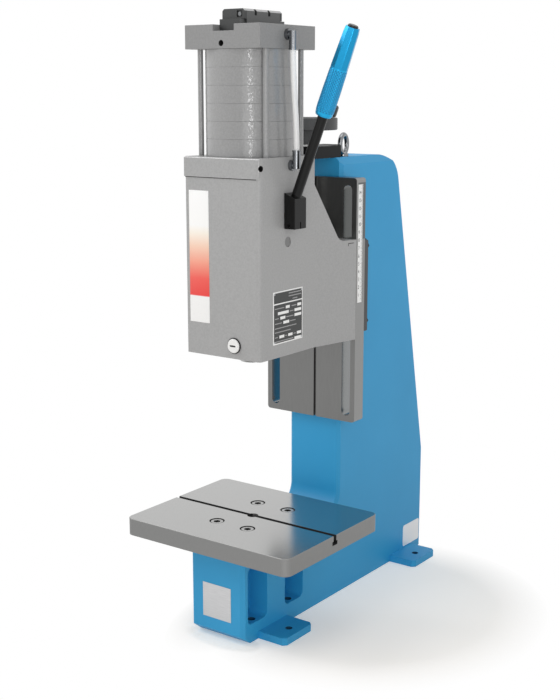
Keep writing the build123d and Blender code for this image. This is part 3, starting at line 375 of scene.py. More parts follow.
# Vinyl label: the whitest surface, slightly glossy
VINYL = moulded_plastic("white_label_vinyl", "#fdfdfd", "#ffffff", 0.25, 1.2)
# Black printing ink, which also serves as painted shade in the plug's slot: dull
INK_AND_SHADE = moulded_plastic("black_print_and_shade", "#0d0d0d", "#151515", 0.5, 0.8)
# Grey print on the rating plate: thin plain bars, dull
LABEL = moulded_plastic("grey_print", "#9b9b9b", "#a5a5a5", 0.5, 0.8)
# Etched field of the rating plate: dark, dull
FIELD = fine_metal("grey_etched_plate", "#343535", "#3b3c3c", 0.5, metallic=0.0)
# Brushed plate on the base: pale, with fine level lines
BADGE = ground_steel("brushed_plate_aluminium", "#c2c2c3", "#d0d0d1", 0.42, (0.05, 1, 1), line_mm=0.7)
# Printed film on the head: a white foot, then red that fades to white
STRIP = changing(
    "red_fading_film",
    STRIP_LOW,
    STRIP_HIGH,
    (0.0, "#f7f7f6"),
    (0.2, "#f7f7f6"),
    (0.205, "#ee4340"),
    (0.34, "#f36157"),
    (0.46, "#f7a38c"),
    (0.58, "#f8d2bb"),
    (0.68, "#faf1e4"),
    (0.74, "#fbfaf8"),
    (1.0, "#fbfbfa"),
    Roughness=0.35,
    IOR=1.46,
)

FINISH = {
    "frame": BLUE,
    "work_table": TABLE,
    "table_screws": BRIGHT,
    "slide_plate": PLATE,
    "slide_plate_screws": DARK,
    "height_scale": WHITE,
    "lifting_eye": CHROME,
    "screw_bracket": DARK,
    "bracket_screws": DARK,
    "thrust_washer": BRIGHT,
    "lifting_screw": BRIGHT,
    "handwheel": WHEEL,
    "wheel_nut": BRIGHT,
    "knob_pin": CHROME,
    "wheel_knob": KNOB,
    "head_housing": HAMMER,
    "front_lip": HAMMER,
    "guide_key": BRIGHT,
    "lifting_nut": BRONZE,
    "clamp_bar_left": BAR,
    "clamp_bar_right": BAR,
    "clamp_bolts": DARK,
    "front_plug": PLUG_WHITE,
    "front_plug_seal": RUBBER_AND_SHADOW,
    "side_plug": PLUG_GREY,
    "ram_bush_lower": BRONZE,
    "ram_bush_upper": BRONZE,
    "shaft_bush_left": BRONZE,
    "shaft_bush_right": BRONZE,
    "shaft_cover": HAMMER,
    "ram": BRIGHT,
    "tool_set_screw": DARK,
    "pinion": BRIGHT,
    "pinion_key": BRIGHT,
    "lever_shaft": BRIGHT,
    "lever_hub": BLACK,
    "hub_clamp_screw": BLACK,
    "lever_rod": BLACK,
    "lever_grip": GRIP,
    "grip_end_cap": KNOB,
    "cylinder_base": BARREL,
    "cylinder_tube_lower": BARREL,
    "partition_lower": BARREL,
    "cylinder_tube_middle": BARREL,
    "partition_upper": BARREL,
    "cylinder_tube_upper": BARREL,
    "rod_seals": RUBBER_AND_SHADOW,
    "top_cap": CAP_GREY,
    "tie_rods": BARREL,
    "pistons": ALUMINIUM,
    "piston_seals": RUBBER_AND_SHADOW,
    "piston_rod": BRIGHT,
    "valve_body": VALVE,
    "valve_end_caps": VALVE,
    "valve_screws": CHROME,
    "elbow_upper": NICKEL,
    "elbow_lower": NICKEL,
    "air_hose": HOSE,
}


# Points of a mesh this close are one point, and CAD faces this flat are one face
MERGE_MM, FLAT_TURN = 0.002, radians(0.3)


# Modelling helpers
def select_only(piece):
    """Makes a piece the only selected and the active object."""
    bpy.ops.object.select_all(action="DESELECT")
    piece.select_set(True)
    bpy.context.view_layer.objects.active = piece


def place_in_mesh(piece):
    """Moves a piece's place, turn and scale into its mesh."""
    select_only(piece)
    bpy.ops.object.transform_apply(location=True, rotation=True, scale=True)
    return piece


def paint(piece, material):
    """Gives a whole piece one material."""
    piece.data.materials.clear()
    piece.data.materials.append(material)


def paint_where(piece, material, chosen):
    """Gives another material to the faces whose centre in mm and normal pass a test."""
    piece.data.materials.append(material)
    index = len(piece.data.materials) - 1
    for face in piece.data.polygons:
        if chosen(face.center / MM, face.normal):
            face.material_index = index


def modifier(piece, kind, **settings):
    """Adds a modifier, sets it and applies it."""
    select_only(piece)
    bpy.ops.object.modifier_add(type=kind)
    added = piece.modifiers[-1]
    for key, value in settings.items():
        setattr(added, key, value)
    bpy.ops.object.modifier_apply(modifier=added.name)


def break_edges(piece, width_mm):
    """Small rounds on the sharp edges of a piece, with flat faces left flat."""
    modifier(
        piece,
        "BEVEL",
        width=width_mm * MM,
        segments=2,
        limit_method="ANGLE",
        angle_limit=radians(30),
    )


def settle(piece, name, body, material, smooth=35, weighted=False):
    """Names a finished piece, puts its place into its mesh and lets it ride on a body."""
    place_in_mesh(piece)
    bpy.ops.object.shade_smooth_by_angle(angle=radians(smooth))
    if weighted:
        modifier(piece, "WEIGHTED_NORMAL", keep_sharp=True, weight=100)
    piece.name = name
    piece.data.name = name
    paint(piece, material)
    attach(piece, body)


def dress(node, width_mm):
    """A copy of a CAD node with joined faces and broken edges, shown in its place."""
    select_only(NODES[node])
    bpy.ops.object.duplicate()
    piece = bpy.context.active_object
    piece.parent = None
    for key in list(piece.keys()):
        del piece[key]
    bpy.ops.mesh.customdata_custom_splitnormals_clear()
    bpy.ops.object.mode_set(mode="EDIT")
    bpy.ops.mesh.select_all(action="SELECT")
    bpy.ops.mesh.remove_doubles(threshold=MERGE_MM * MM)
    bpy.ops.mesh.dissolve_limited(angle_limit=FLAT_TURN)
    bpy.ops.object.mode_set(mode="OBJECT")
    if width_mm:
        break_edges(piece, width_mm)
    settle(piece, node + "_finish", BODY_OF[node], FINISH[node], weighted=True)
    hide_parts(node)
    return piece


def block(x0, x1, y0, y1, z0, z1):
    """Box between two corners, in mm."""
    bpy.ops.object.select_all(action="DESELECT")
    middle = mm((x0 + x1) / 2, (y0 + y1) / 2, (z0 + z1) / 2)
    bpy.ops.mesh.primitive_cube_add(size=1, location=middle, scale=mm(x1 - x0, y1 - y0, z1 - z0))
    return place_in_mesh(bpy.context.active_object)


def face_outwards(piece):
    """Merges the points of a piece that lie together and turns its faces outwards."""
    select_only(piece)
    bpy.ops.object.mode_set(mode="EDIT")
    bpy.ops.mesh.select_all(action="SELECT")
    bpy.ops.mesh.remove_doubles(threshold=MERGE_MM * MM)
    bpy.ops.mesh.normals_make_consistent(inside=False)
    bpy.ops.object.mode_set(mode="OBJECT")
    return piece


def turned(profile, sides):
    """Round piece along Z from (height, radius) pairs in mm, extruded ring by ring from a disc."""
    low, radius = profile[0]
    bpy.ops.object.select_all(action="DESELECT")
    bpy.ops.mesh.primitive_circle_add(
        vertices=sides, radius=radius * MM, fill_type="NGON", location=mm(0, 0, low)
    )
    piece = place_in_mesh(bpy.context.active_object)
    bpy.ops.object.mode_set(mode="EDIT")
    bpy.ops.mesh.select_all(action="SELECT")
    for (below, inner), (above, outer) in zip(profile, profile[1:]):
        rise = mm(0, 0, above - below)
        bpy.ops.mesh.extrude_region_move(TRANSFORM_OT_translate={"value": rise})
        grow = outer / inner
        bpy.ops.transform.resize(value=(grow, grow, 1), center_override=mm(0, 0, above))
    bpy.ops.object.mode_set(mode="OBJECT")
    return face_outwards(piece)


def join(pieces):
    """Joins pieces into the first."""
    bpy.ops.object.select_all(action="DESELECT")
    for piece in pieces:
        piece.select_set(True)
    bpy.context.view_layer.objects.active = pieces[0]
    bpy.ops.object.join()
    return pieces[0]


def copied(piece, places):
    """A piece and its copies, each with its own mesh, moved to places in mm and joined."""
    pieces = [piece]
    while len(pieces) < len(places):
        select_only(piece)
        bpy.ops.object.duplicate()
        pieces.append(bpy.context.active_object)
    for copy, place in zip(pieces, places):
        copy.location = mm(*place)
        place_in_mesh(copy)
    return join(pieces)


# Every CAD node gets its finish; the ones that show are dressed, with edges this wide in mm
for node, material in FINISH.items():
    paint(NODES[node], material)

EDGE_MM = {
    "frame": 0.8,
    "work_table": 0.4,
    "table_screws": 0.3,
    "slide_plate": 0.5,
    "lifting_eye": 0.0,
    "screw_bracket": 0.8,
    "bracket_screws": 0.3,
    "handwheel": 0.4,
    "wheel_nut": 0.4,
    "knob_pin": 0.3,
    "wheel_knob": 0.6,
    "head_housing": 0.7,
    "front_lip": 0.2,
    "clamp_bar_left": 0.5,
    "clamp_bar_right": 0.5,
    "clamp_bolts": 0.4,
    "front_plug": 0.3,
    "front_plug_seal": 0.3,
    "side_plug": 0.4,
    "ram_bush_lower": 0.5,
    "shaft_cover": 0.8,
    "ram": 0.15,
    "lever_hub": 0.0,
    "hub_clamp_screw": 0.2,
    "lever_rod": 0.3,
    "grip_end_cap": 0.3,
    "cylinder_base": 0.35,
    "cylinder_tube_lower": 0.35,
    "partition_lower": 0.35,
    "cylinder_tube_middle": 0.35,
    "partition_upper": 0.35,
    "cylinder_tube_upper": 0.35,
    "top_cap": 0.5,
    "tie_rods": 0.3,
    "valve_body": 0.4,
    "valve_end_caps": 0.4,
    "valve_screws": 0.3,
    "elbow_upper": 0.4,
    "elbow_lower": 0.4,
    "air_hose": 0.0,
}
dressed = {node: dress(node, width) for node, width in EDGE_MM.items()}

# Share of a face's normal along an axis, from which the face counts as turned that way
LEVEL, NEARLY_LEVEL, FORWARDS, SIDEWAYS, SLANTED = 0.98, 0.85, 0.8, 0.7, 0.5
# Room in mm that the tests leave round a shape, because its edges are broken
ROOM, WIDE_ROOM = 0.2, 1

# Work table: milled sides, and painted shade in its slot
SLOT_HALF = 5.6
SLOT_MOUTH = 0.05
table = dressed["work_table"]
paint_where(table, EDGE_STEEL, lambda c, n: abs(n.z) < NEARLY_LEVEL or c.z < TABLE_TOP - WIDE_ROOM)
paint_where(
    table,
    RECESS_SHADE,
    lambda c, n: abs(c.y) < SLOT_HALF
    and c.z < TABLE_TOP - SLOT_MOUTH
    and abs(c.x) < TABLE_X - ROOM,
)

# Painted shade: a dark rim round each sunk screw, and the dark hexagon in its head
SINK_R, HEAD_R, RIM, RIM_FLAT = 9, 8, 0.7, 0.1
HEX_R, HEX_FROM, HEX_TO = 4.9, 6, 1.5
screws_high = box_mm("table_screws")[1]
SCREW_X, SCREW_Y = screws_high.x - HEAD_R, screws_high.y - HEAD_R
screws = dressed["table_screws"]


def from_screw(centre):
    """Distance of a point from the axis of the nearest table screw, in mm."""
    return Vector((abs(centre.x) - SCREW_X, abs(centre.y) - SCREW_Y)).length


paint_where(table, RECESS_SHADE, lambda c, n: from_screw(c) < SINK_R + RIM and abs(n.z) < LEVEL)
paint_where(screws, RECESS_SHADE, lambda c, n: from_screw(c) > HEAD_R - RIM and abs(n.z) < LEVEL)
paint_where(
    screws,
    RECESS_SHADE,
    lambda c, n: from_screw(c) < HEX_R and TABLE_TOP - HEX_FROM < c.z < TABLE_TOP - HEX_TO,
)
bpy.ops.object.select_all(action="DESELECT")
bpy.ops.mesh.primitive_torus_add(
    major_radius=(SINK_R + RIM / 2) * MM,
    minor_radius=RIM / 2 * MM,
    major_segments=64,
    minor_segments=10,
)
rim = bpy.context.active_object
rim.scale.z = RIM_FLAT
place_in_mesh(rim)
screw_places = [(x, y, TABLE_TOP) for x in (-SCREW_X, SCREW_X) for y in (-SCREW_Y, SCREW_Y)]
settle(copied(rim, screw_places), "screw_rim_shade", "frame", RECESS_SHADE)

# Holes through the foot tabs and the pockets' floors, in shade
FOOT_HOLES = ((65, -12), (65, 304), (-65, 18), (-65, 304))
FOOT_HOLE_R, FOOT_TOP = 4.5, 9.5
POCKET_HOLES = ((30, -43.5), (30, 34), (-30, -43.5), (-30, 34))
POCKET_HOLE_R, POCKET_FLOOR = 5, 24


def in_floor_hole(centre, normal):
    """Faces inside a hole through a foot tab or through the floor of a pocket."""
    for spots, radius, top in (
        (FOOT_HOLES, FOOT_HOLE_R, FOOT_TOP),
        (POCKET_HOLES, POCKET_HOLE_R, POCKET_FLOOR),
    ):
        for spot in spots:
            beside = (centre.xy - Vector(spot)).length < radius + WIDE_ROOM
            if beside and centre.z < top + ROOM / 2:
                return abs(normal.z) < LEVEL
    return False


paint_where(dressed["frame"], SHADED_BLUE, in_floor_hole)

# The cap's air port, with painted shade inside
CAP_FRONT = box_mm("top_cap")[0].y
PORT_X, PORT_Z, PORT_R, PORT_DEEP, PORT_FLOOR = -0.7, 721, 3.3, 14.7, 5


def in_port(centre, normal):
    """Faces inside the port in the cap's front."""
    aside = Vector((centre.x - PORT_X, centre.z - PORT_Z)).length
    depth = centre.y - CAP_FRONT
    wall_or_floor = abs(normal.y) < SLANTED or depth > PORT_FLOOR
    return aside < PORT_R + ROOM and 0 < depth < PORT_DEEP and wall_or_floor


paint_where(dressed["top_cap"], RECESS_SHADE, in_port)

# The hole through the head's rounded corner, with painted shade inside
CORNER_Z, CORNER_R, CORNER_FROM, CORNER_IN = 581, 3.5, 0.3, 9
CORNER_ROUND, CORNER_TURN = 5, radians(65)
corner_out = Vector((sin(CORNER_TURN), -cos(CORNER_TURN)))
round_at = Vector((HEAD_RIGHT - CORNER_ROUND, HEAD_FRONT + CORNER_ROUND))
corner_at = round_at + corner_out * CORNER_ROUND


def in_corner_hole(centre, normal):
    """Faces inside the hole through the head's rounded corner."""
    from_mouth = centre.xy - corner_at
    depth = -from_mouth.dot(corner_out)
    aside = abs(from_mouth.cross(corner_out))
    inside = CORNER_FROM < depth < CORNER_IN + ROOM
    reach = CORNER_R + ROOM
    return inside and aside < reach and abs(centre.z - CORNER_Z) < reach


paint_where(dressed["head_housing"], RECESS_SHADE, in_corner_hole)

# The front plug's screwdriver slot, with painted shade inside
plug_low, plug_high = box_mm("front_plug")
plug_middle = (plug_low + plug_high) / 2
PLUG_SLOT, PLUG_SLOT_HALF, PLUG_SLOT_FROM, PLUG_SLOT_DEEP = 1.4, 4.4, 0.02, 1.2
paint_where(
    dressed["front_plug"],
    INK_AND_SHADE,
    lambda c, n: abs(c.z - plug_middle.z) < PLUG_SLOT / 2 + 2 * ROOM
    and abs(c.x - plug_middle.x) < PLUG_SLOT_HALF
    and PLUG_SLOT_FROM < c.y - plug_low.y < PLUG_SLOT_DEEP + ROOM / 2,
)

# Painted highlight on the upper edge of the lip, and a dark strip under it as painted shadow
lip_low, lip_high = box_mm("front_lip")
LIP_HIGHLIGHT_BAND, LIP_HIGHLIGHT_TURN = 1.5, (0.1, 0.97)
LIP_SHADOW_LEFT, LIP_SHADOW_RIGHT, LIP_SHADOW_OUT, LIP_SHADOW_IN, LIP_SHADOW_HIGH = -55, 50, 0.7, 0.1, 0.8
lip_shadow = block(
    LIP_SHADOW_LEFT,
    LIP_SHADOW_RIGHT,
    HEAD_FRONT - LIP_SHADOW_OUT,
    HEAD_FRONT + LIP_SHADOW_IN,
    lip_low.z - LIP_SHADOW_HIGH,
    lip_low.z,
)
break_edges(lip_shadow, width_mm=0.2)
settle(lip_shadow, "lip_painted_shadow", "head", RUBBER_AND_SHADOW)
paint_where(
    dressed["front_lip"],
    LIP_HIGHLIGHT,
    lambda c, n: c.z > lip_high.z - LIP_HIGHLIGHT_BAND and LIP_HIGHLIGHT_TURN[0] < n.z < LIP_HIGHLIGHT_TURN[1],
)

# Valve: lighter sides, and a painted highlight on the chamfers along its top
HIGHLIGHT_BAND = 3.5
HIGHLIGHT_LOW = box_mm("valve_body")[1].z - HIGHLIGHT_BAND
paint_where(dressed["valve_body"], VALVE_SIDE, lambda c, n: abs(n.x) > SIDEWAYS)
for node in ("valve_body", "valve_end_caps"):
    paint_where(
        dressed[node],
        CHAMFER_HIGHLIGHT,
        lambda c, n: SLANTED < n.z < NEARLY_LEVEL and abs(n.x) > SLANTED and c.z > HIGHLIGHT_LOW,
    )

# Slide plate: lighter milled sides, and slot walls with painted shade above
PLATE_SLOT_X, PLATE_SLOT_HALF = 56, 6.6
plate = dressed["slide_plate"]
paint_where(
    plate,
    PLATE_SIDE,
    lambda c, n: abs(n.x) > SIDEWAYS and abs(c.x) > PLATE_SLOT_X + PLATE_SLOT_HALF,
)
paint_where(
    plate,
    SLOT_WALL,
    lambda c, n: abs(abs(c.x) - PLATE_SLOT_X) < PLATE_SLOT_HALF and abs(n.y) < FORWARDS,
)

# Printed strip on the head's front
FILM = 0.2
STRIP_LEFT, STRIP_RIGHT = -50.1, -20.3
strip = block(STRIP_LEFT, STRIP_RIGHT, HEAD_FRONT - FILM, HEAD_FRONT, STRIP_LOW, STRIP_HIGH)
break_edges(strip, width_mm=0.05)
settle(strip, "front_strip", "head", STRIP)

# Bare plate on the base's front
BADGE_LEFT, BADGE_RIGHT, BADGE_LOW, BADGE_HIGH, BADGE_T = -22.7, 21.3, 26.6, 71.2, 0.5
badge = block(BADGE_LEFT, BADGE_RIGHT, BASE_FRONT - BADGE_T, BASE_FRONT, BADGE_LOW, BADGE_HIGH)
break_edges(badge, width_mm=0.15)
settle(badge, "base_badge", "frame", BADGE)

# Bare white label with rounded corners near the back of the base's right side
LABEL_Y, LABEL_Z, LABEL_LONG, LABEL_HIGH, LABEL_ROUND = 334, 27, 46, 32, 3.5
bpy.ops.object.select_all(action="DESELECT")
bpy.ops.mesh.primitive_plane_add(
    size=1, rotation=(0, pi / 2, 0), location=mm(BASE_RIGHT, LABEL_Y, LABEL_Z)
)
label = bpy.context.active_object
label.scale = mm(LABEL_HIGH, LABEL_LONG, 1)
place_in_mesh(label)
bpy.ops.object.mode_set(mode="EDIT")
bpy.ops.mesh.select_all(action="SELECT")
bpy.ops.mesh.bevel(affect="VERTICES", offset=LABEL_ROUND * MM, segments=5)
bpy.ops.mesh.extrude_region_move(TRANSFORM_OT_translate={"value": mm(FILM, 0, 0)})
bpy.ops.object.mode_set(mode="OBJECT")
settle(face_outwards(label), "side_label", "frame", VINYL)

# Bare rating plate on the head's right side: etched field, bright border, blank boxes and bars
PLATE_T = 0.4
PLATE_Y0, PLATE_Y1, PLATE_Z0, PLATE_Z1 = -31.3, 29.2, 372.5, 435.8
BORDER = 1.5
rating = block(HEAD_RIGHT, HEAD_RIGHT + PLATE_T, PLATE_Y0, PLATE_Y1, PLATE_Z0, PLATE_Z1)
break_edges(rating, width_mm=0.15)
settle(rating, "rating_plate", "head", WHITE)
ETCH = 0.06
RULE_Z = 421
face_x = HEAD_RIGHT + PLATE_T
field_y = (PLATE_Y0 + BORDER, PLATE_Y1 - BORDER)
fields = [
    block(face_x, face_x + ETCH, *field_y, PLATE_Z0 + BORDER, RULE_Z - BORDER / 2),
    block(face_x, face_x + ETCH, *field_y, RULE_Z + BORDER / 2, PLATE_Z1 - BORDER),
]
settle(join(fields), "rating_plate_field", "head", FIELD)


def prints(spots, tall):
    """Flat boxes of one height on the etched field, from (start, end, middle height) in mm."""
    return join([
        block(face_x + ETCH, face_x + 2 * ETCH, y0, y1, z - tall / 2, z + tall / 2)
        for y0, y1, z in spots
    ])


BLANK_H = 3.4
BLANKS = (
    (-6, 2, 415.5),
    (18, 26, 415.5),
    (-22, 0, 409.5),
    (12, 26, 409.5),
    (-17, -7, 403.5),
    (12, 26, 403.5),
    (-11, 1, 397.5),
    (-19, -9, 381),
    (-1, 8, 381),
    (17, 26, 381),
    (12, 26, 375),
)
settle(prints(BLANKS, BLANK_H), "rating_plate_blanks", "head", WHITE)
BAR_H = 1.1
BARS = (
    (0, 26, 431.5),
    (0, 26, 428),
    (8, 18, 424.3),
    (-28, -9, 415.5),
    (6, 16, 415.5),
    (2, 10, 409.5),
    (-28, -20, 403.5),
    (-5, 10, 403.5),
    (-28, -14, 397.5),
    (3, 14, 397.5),
    (-28, 16, 391.8),
    (-28, 4, 387),
    (-28, -22, 381),
    (-7, -3, 381),
    (10, 15, 381),
    (-28, 10, 375.8),
)
settle(prints(BARS, BAR_H), "rating_plate_bars", "head", LABEL)
RIVET_IN = 2.6
RIVET = ((0, 1.3), (0.35, 1.2), (0.6, 0.7))
rivet = turned(RIVET, sides=20)
rivet.rotation_euler = (0, pi / 2, 0)
place_in_mesh(rivet)
rivet_places = [
    (face_x, y, z)
    for y in (PLATE_Y0 + RIVET_IN, PLATE_Y1 - RIVET_IN)
    for z in (PLATE_Z0 + RIVET_IN, PLATE_Z1 - RIVET_IN)
]
settle(copied(rivet, rivet_places), "rating_plate_rivets", "head", ALUMINIUM)

# Pointer cut into the flared side beside the height scale: a short line with a hooked end
FLARE_Y, FLARE_LONG, FLARE_OUT = 54, 72.75, 14.5
INK_T = 0.05
POINTER_FRONT, POINTER_BACK, POINTER_Z, POINTER_LINE = 113, 122.5, 480.1, 0.9
HOOK_FRONT, HOOK_LOW, HOOK_HIGH = 112.4, 477.2, 480.6
pointer = join([
    block(0, INK_T, POINTER_FRONT, POINTER_BACK, POINTER_Z, POINTER_Z + POINTER_LINE),
    block(0, INK_T, HOOK_FRONT, HOOK_FRONT + POINTER_LINE, HOOK_LOW, HOOK_HIGH),
])
for corner in pointer.data.vertices:
    corner.co.x += (HEAD_RIGHT + (corner.co.y / MM - FLARE_Y) * FLARE_OUT / FLARE_LONG) * MM
settle(pointer, "height_pointer", "head", INK_AND_SHADE)

# Height scale: a mark every millimetre, longer ones every 5 and 10 mm, and plain numbers
scale_low, scale_high = box_mm("height_scale")
scale_ink = (scale_high.x, scale_high.x + INK_T)
scale_long = round(scale_high.z - scale_low.z)
MARK_HALF, MARK_1, MARK_5, MARK_10 = 0.14, 2.4, 3.6, 4.6
NUMBER_SIZE, NUMBER_IN = 6.4, 0.3
marks = []
for reach, steps in (
    (MARK_10, range(10, scale_long, 10)),
    (MARK_5, range(5, scale_long, 10)),
    (MARK_1, [k for k in range(1, scale_long) if k % 5]),
):
    mark = block(*scale_ink, scale_high.y - reach, scale_high.y, -MARK_HALF, MARK_HALF)
    marks.append(copied(mark, [(0, 0, scale_low.z + k) for k in steps]))
for k in range(1, scale_long // 10):
    bpy.ops.object.select_all(action="DESELECT")
    bpy.ops.object.text_add(
        location=mm(
            scale_ink[1],
            scale_low.y + NUMBER_IN,
            scale_low.z + 10 * k - NUMBER_SIZE / 3,
        ),
        rotation=(pi / 2, 0, pi / 2),
    )
    number = bpy.context.active_object
    number.data.body = str(k)
    number.data.size = NUMBER_SIZE * MM
    number.data.space_character = 0.8
    bpy.ops.object.convert(target="MESH")
    marks.append(place_in_mesh(bpy.context.active_object))
settle(join(marks), "height_scale_marks", "frame", INK_AND_SHADE)

# Painted shade on the plate's side over the scale and behind its upper half, down to the clamp bar
SHADE_BACK, SHADE_LOW, SHADE_OVER = 147.2, 484, 2.2
shade_x = (scale_low.x, scale_low.x + INK_T)
shade_top = scale_high.z + SHADE_OVER
scale_shade_blocks = [
    block(*shade_x, scale_high.y, SHADE_BACK, SHADE_LOW, shade_top),
    block(*shade_x, scale_low.y, scale_high.y, scale_high.z, shade_top),
]
settle(join(scale_shade_blocks), "scale_painted_shade", "frame", SCALE_SHADE)

# Grip: diamond points on the lower part, flats on the upper part, along the tilted rod
ROD_AT = (64, 2, 545)
TILT = 21.8
GRIP_LOW = 102.5
GRIP_TURN = Matrix.Translation(mm(*ROD_AT)) @ Matrix.Rotation(radians(TILT), 4, "Y")
GRIP_SHAPE = ((0, 9.3), (2, 10.2), (10, 10.7), (30, 10.6), (56, 10.0), (60, 10.2))
KNURL_FROM, KNURL_TO, KNURL_HIGH = 5, 55, 0.4
KNURL_ROWS, KNURL_SIDES = 28, 36
KNURL_STEP = (KNURL_TO - KNURL_FROM) / KNURL_ROWS
FLATS, FLATS_FROM = 8, 57
FLATS_SHAPE = ((56, 10.4), (58, 10.5), (98, 9.2), (104, 8.4))


def grip_radius(height):
    """Radius of the grip under its points, in mm, at a height above its lower end."""
    for (h0, r0), (h1, r1) in zip(GRIP_SHAPE, GRIP_SHAPE[1:]):
        if height <= h1:
            return r0 + (r1 - r0) * (height - h0) / (h1 - h0)
    return GRIP_SHAPE[-1][1]


def knurl_parity(point):
    """0 for a raised cell, 1 for a sunk one and None off the pattern, at a point in mm."""
    row = floor((point.z - GRIP_LOW - KNURL_FROM) / KNURL_STEP)
    around = floor(atan2(point.y, point.x) / (2 * pi) * KNURL_SIDES)
    return (row + around) % 2 if 0 <= row < KNURL_ROWS else None


heights = [h for h, radius in GRIP_SHAPE if h < KNURL_FROM]
heights += [KNURL_FROM + k * KNURL_STEP for k in range(KNURL_ROWS + 1)] + [FLATS_FROM]
lower = turned([(GRIP_LOW + h, grip_radius(h)) for h in heights], KNURL_SIDES)
for parity, rise in ((0, KNURL_HIGH), (1, -KNURL_HIGH)):
    bpy.ops.object.mode_set(mode="EDIT")
    bpy.ops.mesh.select_all(action="DESELECT")
    bpy.ops.object.mode_set(mode="OBJECT")
    for face in lower.data.polygons:
        upright = abs(face.normal.z) < SLANTED and len(face.vertices) == 4
        face.select = upright and knurl_parity(face.center / MM) == parity
    bpy.ops.object.mode_set(mode="EDIT")
    bpy.ops.mesh.poke(offset=rise * MM)
    bpy.ops.object.mode_set(mode="OBJECT")
upper = turned([(GRIP_LOW + h, r) for h, r in FLATS_SHAPE], FLATS)
break_edges(upper, width_mm=0.5)
grip = join([lower, upper])
grip.matrix_world = GRIP_TURN
settle(grip, "lever_grip_finish", "lever", GRIP, smooth=11)
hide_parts("lever_grip")
to_grip = GRIP_TURN.inverted()


def on_grip(centre):
    """A point in mm, turned back to the upright grip."""
    return to_grip @ (centre * MM) / MM


# Painted shade in the sunk cells of the points
paint_where(grip, GROOVE_SHADE, lambda c, n: knurl_parity(on_grip(c)) == 1)
# The flats painted darker, as painted reflection
paint_where(grip, FLATS_SHADE, lambda c, n: on_grip(c).z > GRIP_LOW + FLATS_FROM)

# Lifting screw: trapezoidal thread of 4 mm lead under a collar and a plain journal
spindle_low, spindle_high = box_mm("lifting_screw")
THREAD_LOW, THREAD_HIGH = 358, 578
LEAD = 4
CREST_R, ROOT_R, CORE_IN = 10, 8, 0.2
STEPS = 28
TOOTH = ((ROOT_R, 0), (ROOT_R, 0.28), (CREST_R, 0.42), (CREST_R, 0.72), (ROOT_R, 0.86), (ROOT_R, 1))
COLLAR = ((577, 14.4), (577.6, 15), (584.4, 15), (584.95, 14.4))
JOURNAL = ((584.95, 8), (634.2, 8), (634.7, 7.5))
bpy.ops.object.select_all(action="DESELECT")
bpy.ops.mesh.primitive_plane_add(size=MM, location=mm(ROOT_R, 0, THREAD_LOW))
thread = place_in_mesh(bpy.context.active_object)
bpy.ops.object.mode_set(mode="EDIT")
bpy.ops.mesh.select_all(action="SELECT")
bpy.ops.mesh.merge(type="CENTER")
for (r0, share0), (r1, share1) in zip(TOOTH, TOOTH[1:]):
    step = mm(r1 - r0, 0, (share1 - share0) * LEAD)
    bpy.ops.mesh.extrude_vertices_move(TRANSFORM_OT_translate={"value": step})
bpy.ops.object.mode_set(mode="OBJECT")
modifier(
    thread,
    "SCREW",
    axis="Z",
    angle=2 * pi,
    screw_offset=LEAD * MM,
    iterations=(THREAD_HIGH - THREAD_LOW) // LEAD,
    steps=STEPS,
    render_steps=STEPS,
)
face_outwards(thread)
core = turned(((THREAD_LOW, ROOT_R - CORE_IN), (THREAD_HIGH, ROOT_R - CORE_IN)), sides=40)
journal = turned(COLLAR + JOURNAL, sides=48)
spindle = join([thread, core, journal])
spindle.location = mm(0, (spindle_low.y + spindle_high.y) / 2, 0)
settle(spindle, "lifting_screw_finish", "lifting_gear", BRIGHT)
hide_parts("lifting_screw")


# Stage: white floor that keeps the shadow; seen straight or in metal, a small glow lifts it to white
def seen_rays(tree):
    """1 where the background is looked at, straight or in a mirror, and 0 where it lights."""
    path = add_node(tree, "ShaderNodeLightPath")
    seen = path.outputs["Is Camera Ray"]
    for kind in ("Is Glossy Ray", "Is Transmission Ray"):
        either = add_node(
            tree, "ShaderNodeMath", {"operation": "MAXIMUM"}, {0: seen, 1: path.outputs[kind]}
        )
        seen = either.outputs["Value"]
    return seen


PURE_WHITE = (1, 1, 1, 1)
FLOOR_SIDE, FLOOR_BELOW = 30.0, 0.2
FLOOR_GLOW = 0.27
# In metres from the middle, where the paper turns into plain white
FADE_FROM, FADE_TO = 0.5, 1.2
# Round patches in mm, as (middle, half widths), in which the shadow is kept, and their soft edge
SHADOW_PATCHES = (((100, 125), (200, 215)), ((-20, 140), (85, 235)), ((5, -66), (62, 28)))
EDGE_FROM, EDGE_TO = 0.8, 1.15
bpy.ops.object.select_all(action="DESELECT")
bpy.ops.mesh.primitive_plane_add(size=FLOOR_SIDE, location=mm(0, 0, -FLOOR_BELOW))
studio_floor = bpy.context.active_object
studio_floor.name = "studio_floor"
